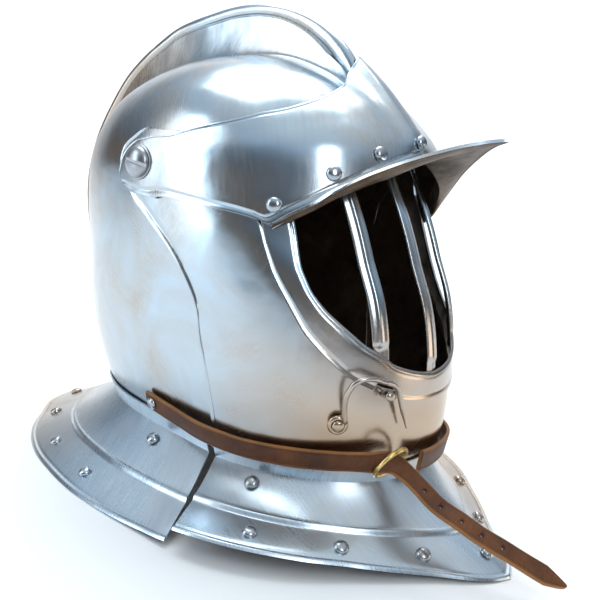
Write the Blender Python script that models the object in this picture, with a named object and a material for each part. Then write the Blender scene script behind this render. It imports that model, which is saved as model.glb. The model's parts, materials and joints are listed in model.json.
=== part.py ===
"""Close helmet with a barred visor: steel plates that turn on two temple pivots.

Helmet axes in millimetres: F forward, N towards the wearer's right, Z up.
World axes in metres: X = -N, Y = -F (less the centring shift), Z = Z.
"""
import math

import bmesh
import bpy
import numpy as np
from mathutils import Vector

MM = 0.001

# ---- driving dimensions, millimetres -------------------------------------
PIVOT_F = -63.0            # temple pivots, fore and aft
PIVOT_Z = 218.0            # temple pivots above the table
CENTRE_F = -9.26           # helmet F that lands on world Y = 0, the middle of the bounding box
SHEET = 1.2                # thickness of every steel plate
GAP = 0.3                  # clearance between pieces that touch
HALF_WIDTH = 95.0          # skull, pivot plane
SKULL = 0.0                # how far each shell stands outside the skull
BEVOR = 1.85
VISOR = 4.0
BROW = 6.0
SCREW_RADIUS = 3.6
HOLE_RADIUS = 4.2
RIVET_RADIUS = 4.6
RIVET_HEIGHT = 3.2
STRAP_WIDTH = 13.0
STRAP_THICK = 2.6
COMB_FOOT = 9.0            # half width of the comb where it meets the skull
SIDE_POWER = 2.2           # how square the shells are towards the temples

# angle round the pivot axis (0 = forward, 90 = up), medial radius, roundness
PROFILE = [
    (-180, 123, 1.95), (-160, 132, 1.95), (-140, 147, 2.0), (-120, 188, 2.1),
    (-100, 222, 2.5), (-80, 236, 3.0), (-60, 266, 3.0), (-45, 243, 3.0),
    (-32, 203, 3.0), (-23, 177, 3.0), (-15, 154, 3.0), (0, 128, 3.0),
    (12, 117, 2.8), (24, 112, 2.6), (36, 105, 2.45), (56, 91, 2.3),
    (85, 80, 2.2), (112, 80, 2.1), (135, 89, 2.0), (160, 108, 1.95),
]
# the brow plate stands off the skull in front, to clear the rising visor
BROW_PROFILE = [
    (-180, 131), (-90, 245), (-60, 274), (-45, 251), (-30, 212), (-20, 184), (-14, 168), (-7, 158),
    (0, 150), (12, 144), (20, 134), (28, 124), (36, 114.5), (44, 106.5), (60, 97), (90, 87), (130, 93),
]
# crest of the comb, as a radius round the pivot axis
COMB = [
    (30, 108), (36, 112), (42, 117.4), (50, 118.6), (62, 118.2), (72, 117.2),
    (83, 116.6), (95, 116.8), (110, 118.5), (119, 122), (129, 128), (138, 133),
    (147, 140), (155, 147), (165, 155), (172, 162), (178, 168), (185, 174),
    (192, 178), (200, 180), (210, 180), (220, 176), (228, 170), (233, 173), (238, 180), (243, 190),
]
# crest of the hollow keel on the brow plate
KEEL = [(10, 145), (13, 146), (19, 139.5), (25, 133.5), (32, 128), (38, 124), (44, 120.8), (50, 119)]


# ---- small numeric helpers -----------------------------------------------
def smooth_table(table, x, column=1, period=None):
    """Read a table at x along a smooth curve through its rows."""
    rows = list(table)
    if period:
        first = [tuple([r[0] + period] + list(r[1:])) for r in rows[:2]]
        last = [tuple([r[0] - period] + list(r[1:])) for r in rows[-2:]]
        rows = last + rows + first
        x = (x - table[0][0]) % period + table[0][0]
    keys = [r[0] for r in rows]
    vals = [r[column] for r in rows]
    if x <= keys[0]:
        return vals[0]
    if x >= keys[-1]:
        return vals[-1]
    i = max(k for k in range(len(keys) - 1) if keys[k] <= x)

    def slope(k):
        if k == 0 or k == len(keys) - 1:
            j = min(max(k, 1), len(keys) - 1)
            return (vals[j] - vals[j - 1]) / (keys[j] - keys[j - 1])
        return (vals[k + 1] - vals[k - 1]) / (keys[k + 1] - keys[k - 1])

    h = keys[i + 1] - keys[i]
    t = (x - keys[i]) / h
    return ((2 * t ** 3 - 3 * t ** 2 + 1) * vals[i] + (t ** 3 - 2 * t ** 2 + t) * h * slope(i)
            + (3 * t ** 2 - 2 * t ** 3) * vals[i + 1] + (t ** 3 - t ** 2) * h * slope(i + 1))


def radius_at(beta, grow, brow=False):
    if brow:
        return smooth_table(BROW_PROFILE, beta, period=360) + grow - BROW
    return smooth_table(PROFILE, beta, period=360) + grow


def power_at(beta):
    return smooth_table(PROFILE, beta, column=2, period=360)


def shell_point(chart, grow, brow=False, lift=None):
    """Chart position (x, y), in degrees from the pivot pole, to a helmet point."""
    psi = math.radians(min(math.hypot(chart[0], chart[1]), 90.0))
    beta = math.degrees(math.atan2(chart[1], chart[0]))
    reach, half = radius_at(beta, grow, brow), HALF_WIDTH + grow
    power = power_at(beta)
    s, c = max(math.sin(psi), 1e-6), max(math.cos(psi), 1e-9)
    k = 1.0
    for _ in range(30):
        value = (k * s) ** power + (k * c) ** SIDE_POWER - 1
        slope = power * s * (k * s) ** (power - 1) + SIDE_POWER * c * (k * c) ** (SIDE_POWER - 1)
        k -= value / slope
    rho, n = k * s * reach, k * c * half
    if psi > math.radians(89.999):
        n = 0.0
    if lift:
        rho += lift(beta, n)
    a = math.radians(beta)
    return np.array([PIVOT_F + rho * math.cos(a), n, PIVOT_Z + rho * math.sin(a)])


def chart_of(f, z, grow, brow=False):
    """Side-view position on a shell to its chart position."""
    rho = math.hypot(f - PIVOT_F, z - PIVOT_Z)
    beta = math.degrees(math.atan2(z - PIVOT_Z, f - PIVOT_F))
    ratio = rho / radius_at(beta, grow, brow)
    if ratio >= 1.0:
        psi = 90.0
    else:
        side = (1 - ratio ** power_at(beta)) ** (1 / SIDE_POWER)
        psi = math.degrees(math.atan2(ratio, side))
    a = math.radians(beta)
    return np.array([psi * math.cos(a), psi * math.sin(a)])


def chart_at(beta, n, grow):
    """Chart place on a shell at a distance n from the middle line."""
    side = min(abs(n) / (HALF_WIDTH + grow), 0.999)
    ratio = (1 - side ** SIDE_POWER) ** (1 / power_at(beta))
    psi = math.degrees(math.atan2(ratio, side))
    a = math.radians(beta)
    return np.array([psi * math.cos(a), psi * math.sin(a)])


def medial(beta):
    a = math.radians(beta)
    return np.array([90.0 * math.cos(a), 90.0 * math.sin(a)])


def spline(points, count, repeat=None):
    """Smooth curve through the points, at count places evenly spaced along it.

    With repeat, each span is cut into that many equal steps instead.
    """
    pts = [np.asarray(p, float) for p in points]
    dense = []
    for i in range(len(pts) - 1):
        a, b = pts[i], pts[i + 1]
        before = pts[i - 1] if i else 2 * a - b
        after = pts[i + 2] if i + 2 < len(pts) else 2 * b - a
        lo, hi = (b - before) / 2, (after - a) / 2
        limit = np.linalg.norm(b - a) * 1.2
        for v in (lo, hi):
            size = np.linalg.norm(v)
            if size > limit:
                v *= limit / size
        steps = repeat[i] if repeat else 12
        for t in np.linspace(0, 1, steps, endpoint=False):
            dense.append((2 * t ** 3 - 3 * t ** 2 + 1) * a + (t ** 3 - 2 * t ** 2 + t) * lo
                         + (3 * t ** 2 - 2 * t ** 3) * b + (t ** 3 - t ** 2) * hi)
    dense.append(pts[-1])
    dense = np.array(dense)
    if repeat:
        return dense
    along = np.r_[0, np.cumsum(np.linalg.norm(np.diff(dense, axis=0), axis=1))]
    want = np.linspace(0, along[-1], count)
    return np.stack([np.interp(want, along, dense[:, k]) for k in range(dense.shape[1])], axis=1)


def world(p):
    return (-p[1] * MM, -(p[0] - CENTRE_F) * MM, p[2] * MM)


# ---- scene and object helpers --------------------------------------------
def material(name, colour, rough, metal):
    mat = bpy.data.materials.new(name)
    mat.use_nodes = True
    shader = mat.node_tree.nodes["Principled BSDF"]
    shader.inputs["Base Color"].default_value = (*colour, 1)
    shader.inputs["Roughness"].default_value = rough
    shader.inputs["Metallic"].default_value = metal
    mat.diffuse_color = (*colour, 1)
    return mat


def add_object(name, verts, faces, mat, smooth=True, parent=None):
    mesh = bpy.data.meshes.new(name)
    mesh.from_pydata([tuple(v) for v in verts], [], faces)
    bm = bmesh.new()
    bm.from_mesh(mesh)
    bmesh.ops.remove_doubles(bm, verts=bm.verts, dist=0.00001)
    bmesh.ops.dissolve_degenerate(bm, dist=0.00001, edges=bm.edges)
    bmesh.ops.recalc_face_normals(bm, faces=bm.faces)
    bm.to_mesh(mesh)
    bm.free()
    mesh.materials.append(mat)
    obj = bpy.data.objects.new(name, mesh)
    PARTS.objects.link(obj)
    if smooth:
        mesh.shade_smooth()
        mesh.set_sharp_from_angle(angle=math.radians(35))
    if parent:
        obj.parent = parent
        obj.matrix_parent_inverse = parent.matrix_world.inverted()
    return obj


def cut(obj, cutter):
    mod = obj.modifiers.new("cut", "BOOLEAN")
    mod.operation = "DIFFERENCE"
    mod.solver = "EXACT"
    mod.object = cutter


def two_sheets(outer, inner):
    """Stitch an outer and an inner grid of points into one closed plate.

    Grids are lists of rows. Points with N = 0 are shared with the mirrored half.
    """
    rows, cols = len(outer), len(outer[0])
    verts, index = [], {}

    def vid(point, sheet, r, c, side):
        on_middle = abs(point[1]) < 1e-6
        key = (sheet, r, c, 0 if on_middle else side)
        if key not in index:
            index[key] = len(verts)
            verts.append(world((point[0], point[1] * side, point[2])))
        return index[key]

    faces, edges = [], {}
    for side in (1, -1):
        for r in range(rows - 1):
            for c in range(cols - 1):
                ring = [(r, c), (r + 1, c), (r + 1, c + 1), (r, c + 1)]
                top = [vid(outer[a][b], 0, a, b, side) for a, b in ring]
                low = [vid(inner[a][b], 1, a, b, side) for a, b in ring]
                faces.append(top)
                faces.append(low[::-1])
                for k in range(4):
                    pair = frozenset((top[k], top[(k + 1) % 4]))
                    quad = [top[k], top[(k + 1) % 4], low[(k + 1) % 4], low[k]]
                    edges.setdefault(pair, []).append(quad)
    faces += [quads[0] for quads in edges.values() if len(quads) == 1]
    clean = []
    for face in faces:
        ring = [v for i, v in enumerate(face) if v != face[i - 1]]
        if len(set(ring)) >= 3:
            clean.append(ring)
    return verts, clean


def shell_plate(name, curves, grow, mat, brow=False, lift=None, parent=None, inner_lift=None):
    """Plate on one shell: rows of chart points, outer face at grow."""
    outer = [[shell_point(p, grow, brow, lift) for p in row] for row in curves]
    inner = [[shell_point(p, grow - SHEET, brow, inner_lift or lift) for p in row] for row in curves]
    return add_object(name, *two_sheets(outer, inner), mat, parent=parent)


def between(a, b, t):
    """Chart place a share t of the way from a to b; the middle line stays on the middle line."""
    p = a + (b - a) * t
    far_a, far_b = np.linalg.norm(a), np.linalg.norm(b)
    weight = (min(far_a, far_b, 90.0) / 90.0) ** 8
    want = far_a + (far_b - far_a) * t
    return p * (1 + weight * (want / max(np.linalg.norm(p), 1e-6) - 1))


def blend_rows(first, last, shares):
    return [[between(a, b, t) for a, b in zip(first, last)] for t in shares]


def inset(grid, thick, behind):
    """Copy of a grid of points, moved along its own normals towards a place behind it."""
    g = np.array(grid, float)
    du = np.gradient(g, axis=0)
    dv = np.gradient(g, axis=1)
    n = np.cross(du, dv)
    n /= np.maximum(np.linalg.norm(n, axis=2, keepdims=True), 1e-9)
    if np.mean(np.sum(n * (g - np.array(behind)), axis=2)) < 0:
        n = -n
    n[np.abs(g[:, :, 1]) < 1e-6, 1] = 0
    n /= np.linalg.norm(n, axis=2, keepdims=True)
    return g - n * thick


def tube(points, radii, sides=8, flat=1.0):
    """Closed round bar along a list of helmet points."""
    pts = np.array(points, float)
    tang = np.gradient(pts, axis=0)
    tang /= np.linalg.norm(tang, axis=1, keepdims=True)
    up = np.cross(tang[0], (0.3, 0.5, 0.81))
    verts, faces = [], []
    for i, p in enumerate(pts):
        up = up - tang[i] * np.dot(up, tang[i])
        up /= np.linalg.norm(up)
        side = np.cross(tang[i], up)
        for k in range(sides):
            a = 2 * math.pi * k / sides
            verts.append(world(p + radii[i] * (math.cos(a) * up + flat * math.sin(a) * side)))
    for i in range(len(pts) - 1):
        for k in range(sides):
            a, b = i * sides + k, i * sides + (k + 1) % sides
            faces.append([a, b, b + sides, a + sides])
    faces.append(list(range(sides))[::-1])
    faces.append([(len(pts) - 1) * sides + k for k in range(sides)])
    return verts, faces


def ribbon(centres, outward, across, width, thick, point_at_end=False):
    """Flat strap: a box section swept along the centres."""
    verts, faces = [], []
    count = len(centres)
    for i in range(count):
        half = width / 2
        if point_at_end and i == count - 1:
            half = 0.8
        for a, o in ((-half, 0), (half, 0), (half, 1), (-half, 1)):
            verts.append(world(centres[i] + across[i] * a + outward[i] * (o * thick)))
    for i in range(count - 1):
        for k in range(4):
            a, b = i * 4 + k, i * 4 + (k + 1) % 4
            faces.append([a, b, b + 4, a + 4])
    faces.append([3, 2, 1, 0])
    faces.append([(count - 1) * 4 + k for k in range(4)])
    return verts, faces


def lathe(profile, centre, axis, sides=20):
    """Solid of revolution: (height, radius) steps along an axis from a helmet point."""
    axis = np.asarray(axis, float) / np.linalg.norm(axis)
    u = np.cross(axis, (0.0, 0.0, 1.0))
    if np.linalg.norm(u) < 0.1:
        u = np.cross(axis, (1.0, 0.0, 0.0))
    u /= np.linalg.norm(u)
    v = np.cross(axis, u)
    verts, faces = [], []
    for h, r in profile:
        for k in range(sides):
            a = 2 * math.pi * k / sides
            verts.append(world(centre + axis * h + r * (math.cos(a) * u + math.sin(a) * v)))
    rings = len(profile)
    for i in range(rings - 1):
        for k in range(sides):
            a, b = i * sides + k, i * sides + (k + 1) % sides
            faces.append([a, b, b + sides, a + sides])
    faces.append(list(range(sides))[::-1])
    faces.append([(rings - 1) * sides + k for k in range(sides)])
    return verts, faces


# ---- collections, empties and materials ----------------------------------
for old in list(bpy.data.objects):
    bpy.data.objects.remove(old, do_unlink=True)
PARTS = bpy.data.collections.new("close_helmet")
CUTTERS = bpy.data.collections.new("cutters")
bpy.context.scene.collection.children.link(PARTS)
bpy.context.scene.collection.children.link(CUTTERS)

STEEL = material("polished_steel", (0.78, 0.80, 0.83), 0.18, 1.0)
DARK_STEEL = material("dark_steel", (0.42, 0.43, 0.45), 0.32, 1.0)
LEATHER = material("brown_leather", (0.13, 0.052, 0.022), 0.55, 0.0)
BRASS = material("old_brass", (0.62, 0.47, 0.20), 0.32, 1.0)
LINEN = material("padded_linen", (0.50, 0.43, 0.33), 0.90, 0.0)


def empty(name, place, parent=None):
    obj = bpy.data.objects.new(name, None)
    PARTS.objects.link(obj)
    obj.location = world(place)
    bpy.context.view_layer.update()
    if parent:
        obj.parent = parent
        obj.matrix_parent_inverse = parent.matrix_world.inverted()
        bpy.context.view_layer.update()
    return obj


PIVOT = (PIVOT_F, 0.0, PIVOT_Z)
BEVOR_AXIS = empty("bevor_axis", PIVOT)
VISOR_AXIS = empty("visor_axis", PIVOT, BEVOR_AXIS)
PEAK_AXIS = empty("peak_axis", PIVOT, VISOR_AXIS)


def cutter_from(name, verts, faces):
    obj = add_object(name, verts, faces, STEEL, smooth=False)
    PARTS.objects.unlink(obj)
    CUTTERS.objects.link(obj)
    obj.hide_render = True
    obj.display_type = "WIRE"
    return obj


def swept_box(top, out, width, drop, depth):
    """Box that runs down from a place, square to a direction."""
    out = np.asarray(out, float) / np.linalg.norm(out)
    down = np.array([0.0, 0.0, -1.0])
    down -= out * np.dot(down, out)
    down /= np.linalg.norm(down)
    side = np.cross(out, down)
    verts = []
    for a in (-depth / 2, depth / 2):
        for b in (0, drop):
            for c in (-width / 2, width / 2):
                verts.append(world(np.asarray(top) + out * a + down * b + side * c))
    faces = [[0, 1, 3, 2], [4, 6, 7, 5], [0, 4, 5, 1], [2, 3, 7, 6], [0, 2, 6, 4], [1, 5, 7, 3]]
    return verts, faces


# one pin through both temples cuts every pivot hole
PIN = cutter_from("pivot_hole_cutter", *lathe([(-140, HOLE_RADIUS), (140, HOLE_RADIUS)], np.array(PIVOT),
                                              (0, 1, 0), 24))

# hook and keeper: the hook swings on its eye and catches outside the keeper
HOOK_EYE = np.array([85.8, 63.8, 83.0])
HOOK_AXIS = np.array([0.679, 0.712, -0.177])
KEEPER_FOOT = np.array([102.5, 43.5, 101.6])
KEEPER_OUT = np.array([0.90, 0.42, 0.12])

# ---- skull with its comb --------------------------------------------------
SKULL_FRONT = [(20, 226), (4, 210), (-3, 190), (-9, 172), (-10, 158), (-5, 142), (0, 130), (3, 115), (7, 96),
               (11, 75), (14, 46)]
SKULL_NECK = [(-10, 41), (-40, 38), (-70, 36), (-105, 37), (-130, 40)]


def skull_grid():
    edge = [chart_at(14, COMB_FOOT, SKULL)]
    edge += [chart_of(f, z, SKULL) for f, z in [(44, 240)] + SKULL_FRONT + SKULL_NECK]
    edge.append(chart_at(-117, COMB_FOOT, SKULL))
    columns = 34
    border = spline(edge, columns)
    return border


def comb_rows(beta):
    """Profile of the comb at one place: (half thickness, height) steps down to the crest."""
    crest = smooth_table(COMB, beta if beta > 0 else beta + 360)
    height = max(crest - radius_at(beta, SKULL), 0.0)
    share = min(height / 10.0, 1.0)
    flat = [(COMB_FOOT, 0.0), (7.2, 0.0), (5.4, 0.0), (3.6, 0.0), (1.8, 0.0), (0.0, 0.0)]
    tall = [(COMB_FOOT, 0.0), (4.6, 0.16 * height), (3.4, 0.5 * height), (3.2, height - 4.5),
            (4.3, height - 2.4), (0.0, height)]
    return [(a[0] * (1 - share) + b[0] * share, b[1] * share) for a, b in zip(flat, tall)]


def build_skull():
    border = skull_grid()
    columns = len(border)
    ease = [0, 0.12, 0.26, 0.4, 0.54, 0.67, 0.79, 0.9]
    outer = [[None] * columns for _ in range(len(ease) + 6)]
    inner = [[None] * columns for _ in range(len(ease) + 6)]
    for c in range(columns):
        beta = 14 + (243 - 14) * c / (columns - 1)
        comb = comb_rows(beta)
        # the plain part of the column stops where the comb's foot begins
        reach = radius_at(beta, SKULL)
        a = math.radians(beta)
        target = chart_at(beta, COMB_FOOT, SKULL)
        for r, t in enumerate(ease):
            p = border[c] + (target - border[c]) * t
            outer[r][c] = shell_point(p, SKULL)
            inner[r][c] = shell_point(p, SKULL - SHEET)
        for k, (n, up) in enumerate(comb):
            row = len(ease) + k
            q = (n / HALF_WIDTH) ** SIDE_POWER
            rho = reach * (1 - q) ** (1 / power_at(beta)) + up
            outer[row][c] = np.array([PIVOT_F + rho * math.cos(a), n, PIVOT_Z + rho * math.sin(a)])
            flat = (COMB_FOOT, 7.2, 5.4, 3.6, 1.8, 0.0)[k]
            q = (flat / (HALF_WIDTH - SHEET)) ** SIDE_POWER
            rho = (reach - SHEET) * (1 - q) ** (1 / power_at(beta))
            inner[row][c] = np.array([PIVOT_F + rho * math.cos(a), flat, PIVOT_Z + rho * math.sin(a)])
    skull = add_object("skull", *two_sheets(outer, inner), STEEL)
    cut(skull, PIN)
    return skull


build_skull()

# ---- bevor ---------------------------------------------------------------
BEVOR_REAR = [(-81, 211), (-75, 197), (-64, 188), (-55, 182), (-45, 175), (-35, 167), (-26, 159),
              (-19, 151), (-12, 142), (-7, 132), (-5, 118), (0, 98), (4, 75), (9, 47)]
BEVOR_BOTTOM = [(30, 44), (55, 44), (80, 46), (100, 50)]
BEVOR_FRONT = [(-72, 236), (-56, 236), (-30, 224), (0, 212), (28, 198), (40, 178), (46, 166), (56, 152),
               (68, 140), (80, 127), (89, 116), (96, 109), (103, 104)]


def build_bevor():
    low = [chart_of(f, z, BEVOR) for f, z in BEVOR_REAR + BEVOR_BOTTOM] + [medial(-45.5)]
    high = [chart_of(f, z, BEVOR) for f, z in BEVOR_FRONT] + [medial(-33.7)]
    columns = 30
    grid = blend_rows(spline(low, columns), spline(high, columns), np.linspace(0, 1, 12))
    bevor = shell_plate("bevor", grid, BEVOR, STEEL, parent=BEVOR_AXIS)
    cut(bevor, PIN)
    return bevor


build_bevor()

# ---- visor plate and its bars ---------------------------------------------
# rows of (opening, outer edge) places in the side view, from the brow round to the chin
VISOR_PAIRS = [
    ((55, 235), (46, 245.5)), ((44, 231), (20, 243)), ((39.5, 225), (-15, 239.5)),
    ((38.6, 222), (-45, 240)), ((38.4, 220), (-65, 239.5)), ((38.3, 218.5), (-80, 230)),
    ((38.4, 217), (-85, 218)), ((38.6, 215.5), (-81, 206)), ((39, 214), (-68, 200)),
    ((39.6, 212), (-45, 202)), ((41, 208.5), (-15, 203.5)), ((43, 204.5), (14, 202.5)),
    ((46, 199), (25, 198)), ((51, 187), (30, 190)), ((54.5, 178), (34, 182)),
    ((57.5, 171), (38.5, 173)), ((61, 165), (42, 166.5)), ((65, 158.5), (47, 159)),
    ((69, 153.5), (52, 152)), ((74, 148), (58.5, 142.5)), ((80, 142.5), (65, 133.5)),
    ((87, 136), (75.5, 123)), ((93, 130), (85, 114)), ((98, 126), (91, 109.2)), ((102, 122), (97, 105.5)),
    ((104.5, 118.5), (103, 101.6)),
]


def paired_rows(pairs, first, last, grow, repeat):
    """Two matching rows of chart places, with the same number of steps between each pair."""
    ends = [first] + [(chart_of(*a, grow), chart_of(*b, grow)) for a, b in pairs] + [last]
    inner = spline([e[0] for e in ends], 0, repeat)
    outer = spline([e[1] for e in ends], 0, repeat)
    return inner, outer


def build_visor():
    repeat = [3, 2, 2] + [1] * (len(VISOR_PAIRS) - 3) + [5]
    inner_edge, outer_edge = paired_rows(VISOR_PAIRS, (medial(8.0), medial(14.0)),
                                         (medial(-31.4), medial(-34.7)), VISOR, repeat)
    shares = (0.0, 0.07, 0.14, 0.24, 0.36, 0.48, 0.60, 0.73, 0.86, 1.0)
    grid = blend_rows(inner_edge, outer_edge, shares)
    bead = (0.3, 0.6, 0.3) + (0.0,) * 7
    outer = [[shell_point(p, VISOR + bead[r]) for p in row] for r, row in enumerate(grid)]
    inner = [[shell_point(p, VISOR + max(bead[r] - 0.6, 0) - SHEET) for p in row]
             for r, row in enumerate(grid)]
    visor = add_object("visor_plate", *two_sheets(outer, inner), STEEL, parent=VISOR_AXIS)
    cut(visor, PIN)
    cut(visor, cutter_from("keeper_notch_cutter", *lathe([(-16, 8.5), (14, 8.5)], KEEPER_FOOT,
                                                         KEEPER_OUT, 20)))
    cut(visor, cutter_from("keeper_slot_cutter", *swept_box(KEEPER_FOOT, KEEPER_OUT, 17.0, 26.0, 30.0)))
    return visor


build_visor()


BAR_WIDTH = 11.0
BAR_DEPTH = 4.6


def build_bar(name, n, foot):
    """Bar with a ridge in front; both ends tuck in behind the visor plate."""
    betas = [9.6, 8.4, 7.2, 5.4, 2.0, -2.5, -7, -11.5, -16, -20.5, -25,
             foot + 3.6, foot + 2.3, foot + 1.1, foot]
    verts, faces = [], []
    last = len(betas) - 1
    for i, beta in enumerate(betas):
        chart = chart_at(beta, n, VISOR)
        tucked = i < 3 or i > last - 3
        front = VISOR - SHEET - 0.8 if tucked else VISOR + 0.8
        if i in (2, last - 2):
            front -= GAP
        base = shell_point(chart, front)
        deep = shell_point(chart, front - (1.1 if tucked else BAR_DEPTH))
        base[1] = math.copysign(base[1], n)
        deep[1] = math.copysign(deep[1], n)
        out = base - deep
        depth = np.linalg.norm(out)
        out /= depth
        wide = np.cross((0.35, 0.0, -0.94), out)
        wide /= np.linalg.norm(wide)
        half = BAR_WIDTH / 2
        section = [(-half, -depth), (-half, -depth * 0.6), (0, 0), (half, -depth * 0.6), (half, -depth)]
        for w, o in section:
            verts.append(world(base + wide * w + out * o))
    for i in range(last):
        for k in range(5):
            a, b = i * 5 + k, i * 5 + (k + 1) % 5
            faces.append([a, b, b + 5, a + 5])
    faces.append([4, 3, 2, 1, 0])
    faces.append([last * 5 + k for k in range(5)])
    return add_object(name, verts, faces, STEEL, smooth=False, parent=VISOR_AXIS)


build_bar("visor_bar_right", 46.0, -31.6)
build_bar("visor_bar_centre", 0.0, -33.0)
build_bar("visor_bar_left", -46.0, -31.6)

# ---- brow plate with its hollow keel --------------------------------------
BROW_LOW = [(-77, 201), (-66, 198), (-57, 197.5), (-48, 198), (-38, 199), (-24, 198.7), (-8, 198.2), (6, 197.8),
            (19.5, 197), (30.5, 195.6), (38.5, 194), (47, 201), (57, 209), (64, 216), (72, 224), (78, 232)]
BROW_TOP = [(-83, 211), (-79, 224), (-69, 232), (-56, 235), (-42, 237), (-27, 242), (0, 250), (15, 256),
            (28, 261.5), (36, 269), (37, 276), (30, 284)]


def keel_lift(beta, n):
    crest = smooth_table(KEEL, beta)
    height = max(crest - radius_at(beta, BROW, True), 0.0) if -10 < beta < 70 else 0.0
    if beta < 16:
        height *= max((beta - 6) / 10.0, 0.0)
    width = 8.0 + max(44.0 - beta, 0.0) * 0.12
    return height / (1 + (n / width) ** 4)


def build_brow():
    low = [chart_of(f, z, BROW, True) for f, z in BROW_LOW] + [medial(10.0)]
    high = [chart_of(f, z, BROW, True) for f, z in BROW_TOP] + [medial(44.0)]
    columns = 30
    low_row, high_row = spline(low, columns), spline(high, columns)
    # crowd the last columns towards the keel
    grid = blend_rows(low_row, high_row, np.linspace(0, 1, 11))
    keel_columns = [0.25, 0.45, 0.62, 0.78, 0.9]
    rows = []
    for row in grid:
        row = list(row)
        last, end = row[-2], row[-1]
        rows.append(row[:-1] + [between(last, end, t) for t in keel_columns] + [end])
    brow = shell_plate("brow_plate", rows, BROW, STEEL, brow=True, lift=keel_lift, parent=PEAK_AXIS)
    cut(brow, PIN)
    return brow


build_brow()

# ---- peak ----------------------------------------------------------------
PEAK_EDGE = [(38, 86, 193), (48, 80.5, 200.5), (57.5, 73, 208), (73.5, 59, 224.5), (91.5, 40, 238),
             (111, 21, 249), (125, 8, 255), (136, 0, 258)]


def build_peak():
    # the root hugs the inside of the brow plate; the first row is the hidden flange
    columns = 22
    under = BROW - SHEET - 1.3
    low = [chart_of(f, z, under, True) for f, z in [(38.5, 194)] + BROW_LOW[11:]] + [medial(10.0)]
    root_chart = spline(low, columns)
    high = [chart_of(f, z, under, True) for f, z in [(36, 196), (41, 206), (50, 215), (57, 223), (64, 231),
                                                      (68, 239)]] + [medial(14.0)]
    flange_chart = spline(high, columns)
    flange = np.array([shell_point(p, under, True) for p in flange_chart])
    root = np.array([shell_point(p, under, True) for p in root_chart])
    edge = spline(PEAK_EDGE, columns)
    edge[-1][1] = 0.0
    drop = np.array([0, 0, -2.8])
    rows = [flange, root, root + drop + (edge - root) * 0.06]
    start = rows[-1]
    for t in (0.3, 0.6, 0.9, 1.0):
        sag = np.array([0, 0, -1.2 * math.sin(math.pi * t)])
        rows.append(start + (edge - start) * t + sag)
    top = np.array(rows)
    top[:, -1, 1] = 0.0
    low_sheet = inset(top, SHEET, (60.0, 0.0, 120.0))
    low_sheet[:, -1, 1] = 0.0
    return add_object("peak", *two_sheets(list(top), list(low_sheet)), STEEL, parent=PEAK_AXIS)


build_peak()

# ---- gorget plates ---------------------------------------------------------
def ring_point(alpha, z, grow):
    """Point on a shell at height z, in plan direction alpha from forward."""
    a = math.radians(alpha)
    lo, hi = 10.0, 260.0
    for _ in range(50):
        r = (lo + hi) / 2
        f, n = r * math.cos(a), r * math.sin(a)
        rho = math.hypot(f - PIVOT_F, z - PIVOT_Z)
        beta = math.degrees(math.atan2(z - PIVOT_Z, f - PIVOT_F))
        value = (rho / radius_at(beta, grow)) ** power_at(beta) + (n / (HALF_WIDTH + grow)) ** SIDE_POWER
        if value > 1:
            hi = r
        else:
            lo = r
    return np.array([r * math.cos(a), max(r * math.sin(a), 0.0), z])


# plan angle, plan radius, height of the rim
FRONT_RIM = [(0, 183, 0), (5, 177, 1), (16, 157, 4), (33, 144, 9), (45, 142, 12), (57, 141, 14),
             (70, 140, 15), (78, 138, 14)]
REAR_RIM = [(80.5, 136, 4), (91, 134, 2), (103, 137, 0.6), (114, 144, 0), (130, 160, 0), (142, 178, 0),
            (155, 199, 0), (164, 213, 0), (171, 228, 0), (180, 237, 0)]


def gorget(name, rim, top_a, top_z, grow, mat, parent, columns):
    """Collar on the neck, then a flare out to the rim with a step and a rolled edge."""
    rows = []
    shares = [None, None, 0.08, 0.22, 0.38, 0.50, 0.54, 0.72, 0.92, 0.96, 1.0]
    turn = np.linspace(0, 1, columns)
    for share in shares:
        rows.append([])
    for t in turn:
        a_top = top_a[0] + (top_a[1] - top_a[0]) * t
        a_rim = rim[0][0] + (rim[-1][0] - rim[0][0]) * t
        r_rim = smooth_table(rim, a_rim)
        z_rim = smooth_table(rim, a_rim, column=2)
        tip = np.array([r_rim * math.cos(math.radians(a_rim)),
                        r_rim * math.sin(math.radians(a_rim)), z_rim])
        z0 = top_z[0] + (top_z[1] - top_z[0]) * t
        collar_top = ring_point(a_top, z0 + 11, grow)
        collar_low = ring_point(a_top, z0 + 3, grow)
        foot = ring_point(a_top, z0, grow) * 1.0
        for i, share in enumerate(shares):
            if i == 0:
                p = collar_top
            elif i == 1:
                p = collar_low
            else:
                p = foot + (tip - foot) * share
                sag = -6.0 * math.sin(math.pi * share) * (1 - share)
                step = 1.4 if share > 0.52 else 0.0
                bead = {0.96: 1.6, 1.0: 0.6}.get(share, 0.0)
                p = p + np.array([0, 0, sag - step * (1 - share) * 2.2 + bead])
            rows[i].append(p)
    grid = np.array(rows)
    middle = [i for i, a in enumerate((top_a[0], top_a[1])) if a in (0, 180)]
    end = 0 if middle and middle[0] == 0 else -1
    grid[:, end, 1] = 0.0
    low = inset(grid, SHEET, (-30.0, 0.0, -80.0))
    low[:, end, 1] = 0.0
    low[-1, :, 2] = np.maximum(low[-1, :, 2], 0.0)
    add_object(name, *two_sheets(list(grid), list(low)), mat, parent=parent)
    return grid


FRONT_GRID = gorget("gorget_front", FRONT_RIM, (0, 85.5), (46, 38), BEVOR + 2.0, STEEL,
                               BEVOR_AXIS, 20)
REAR_GRID = gorget("gorget_rear", REAR_RIM, (91.5, 180), (38, 44), SKULL + 2.0, STEEL, None, 20)


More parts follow.
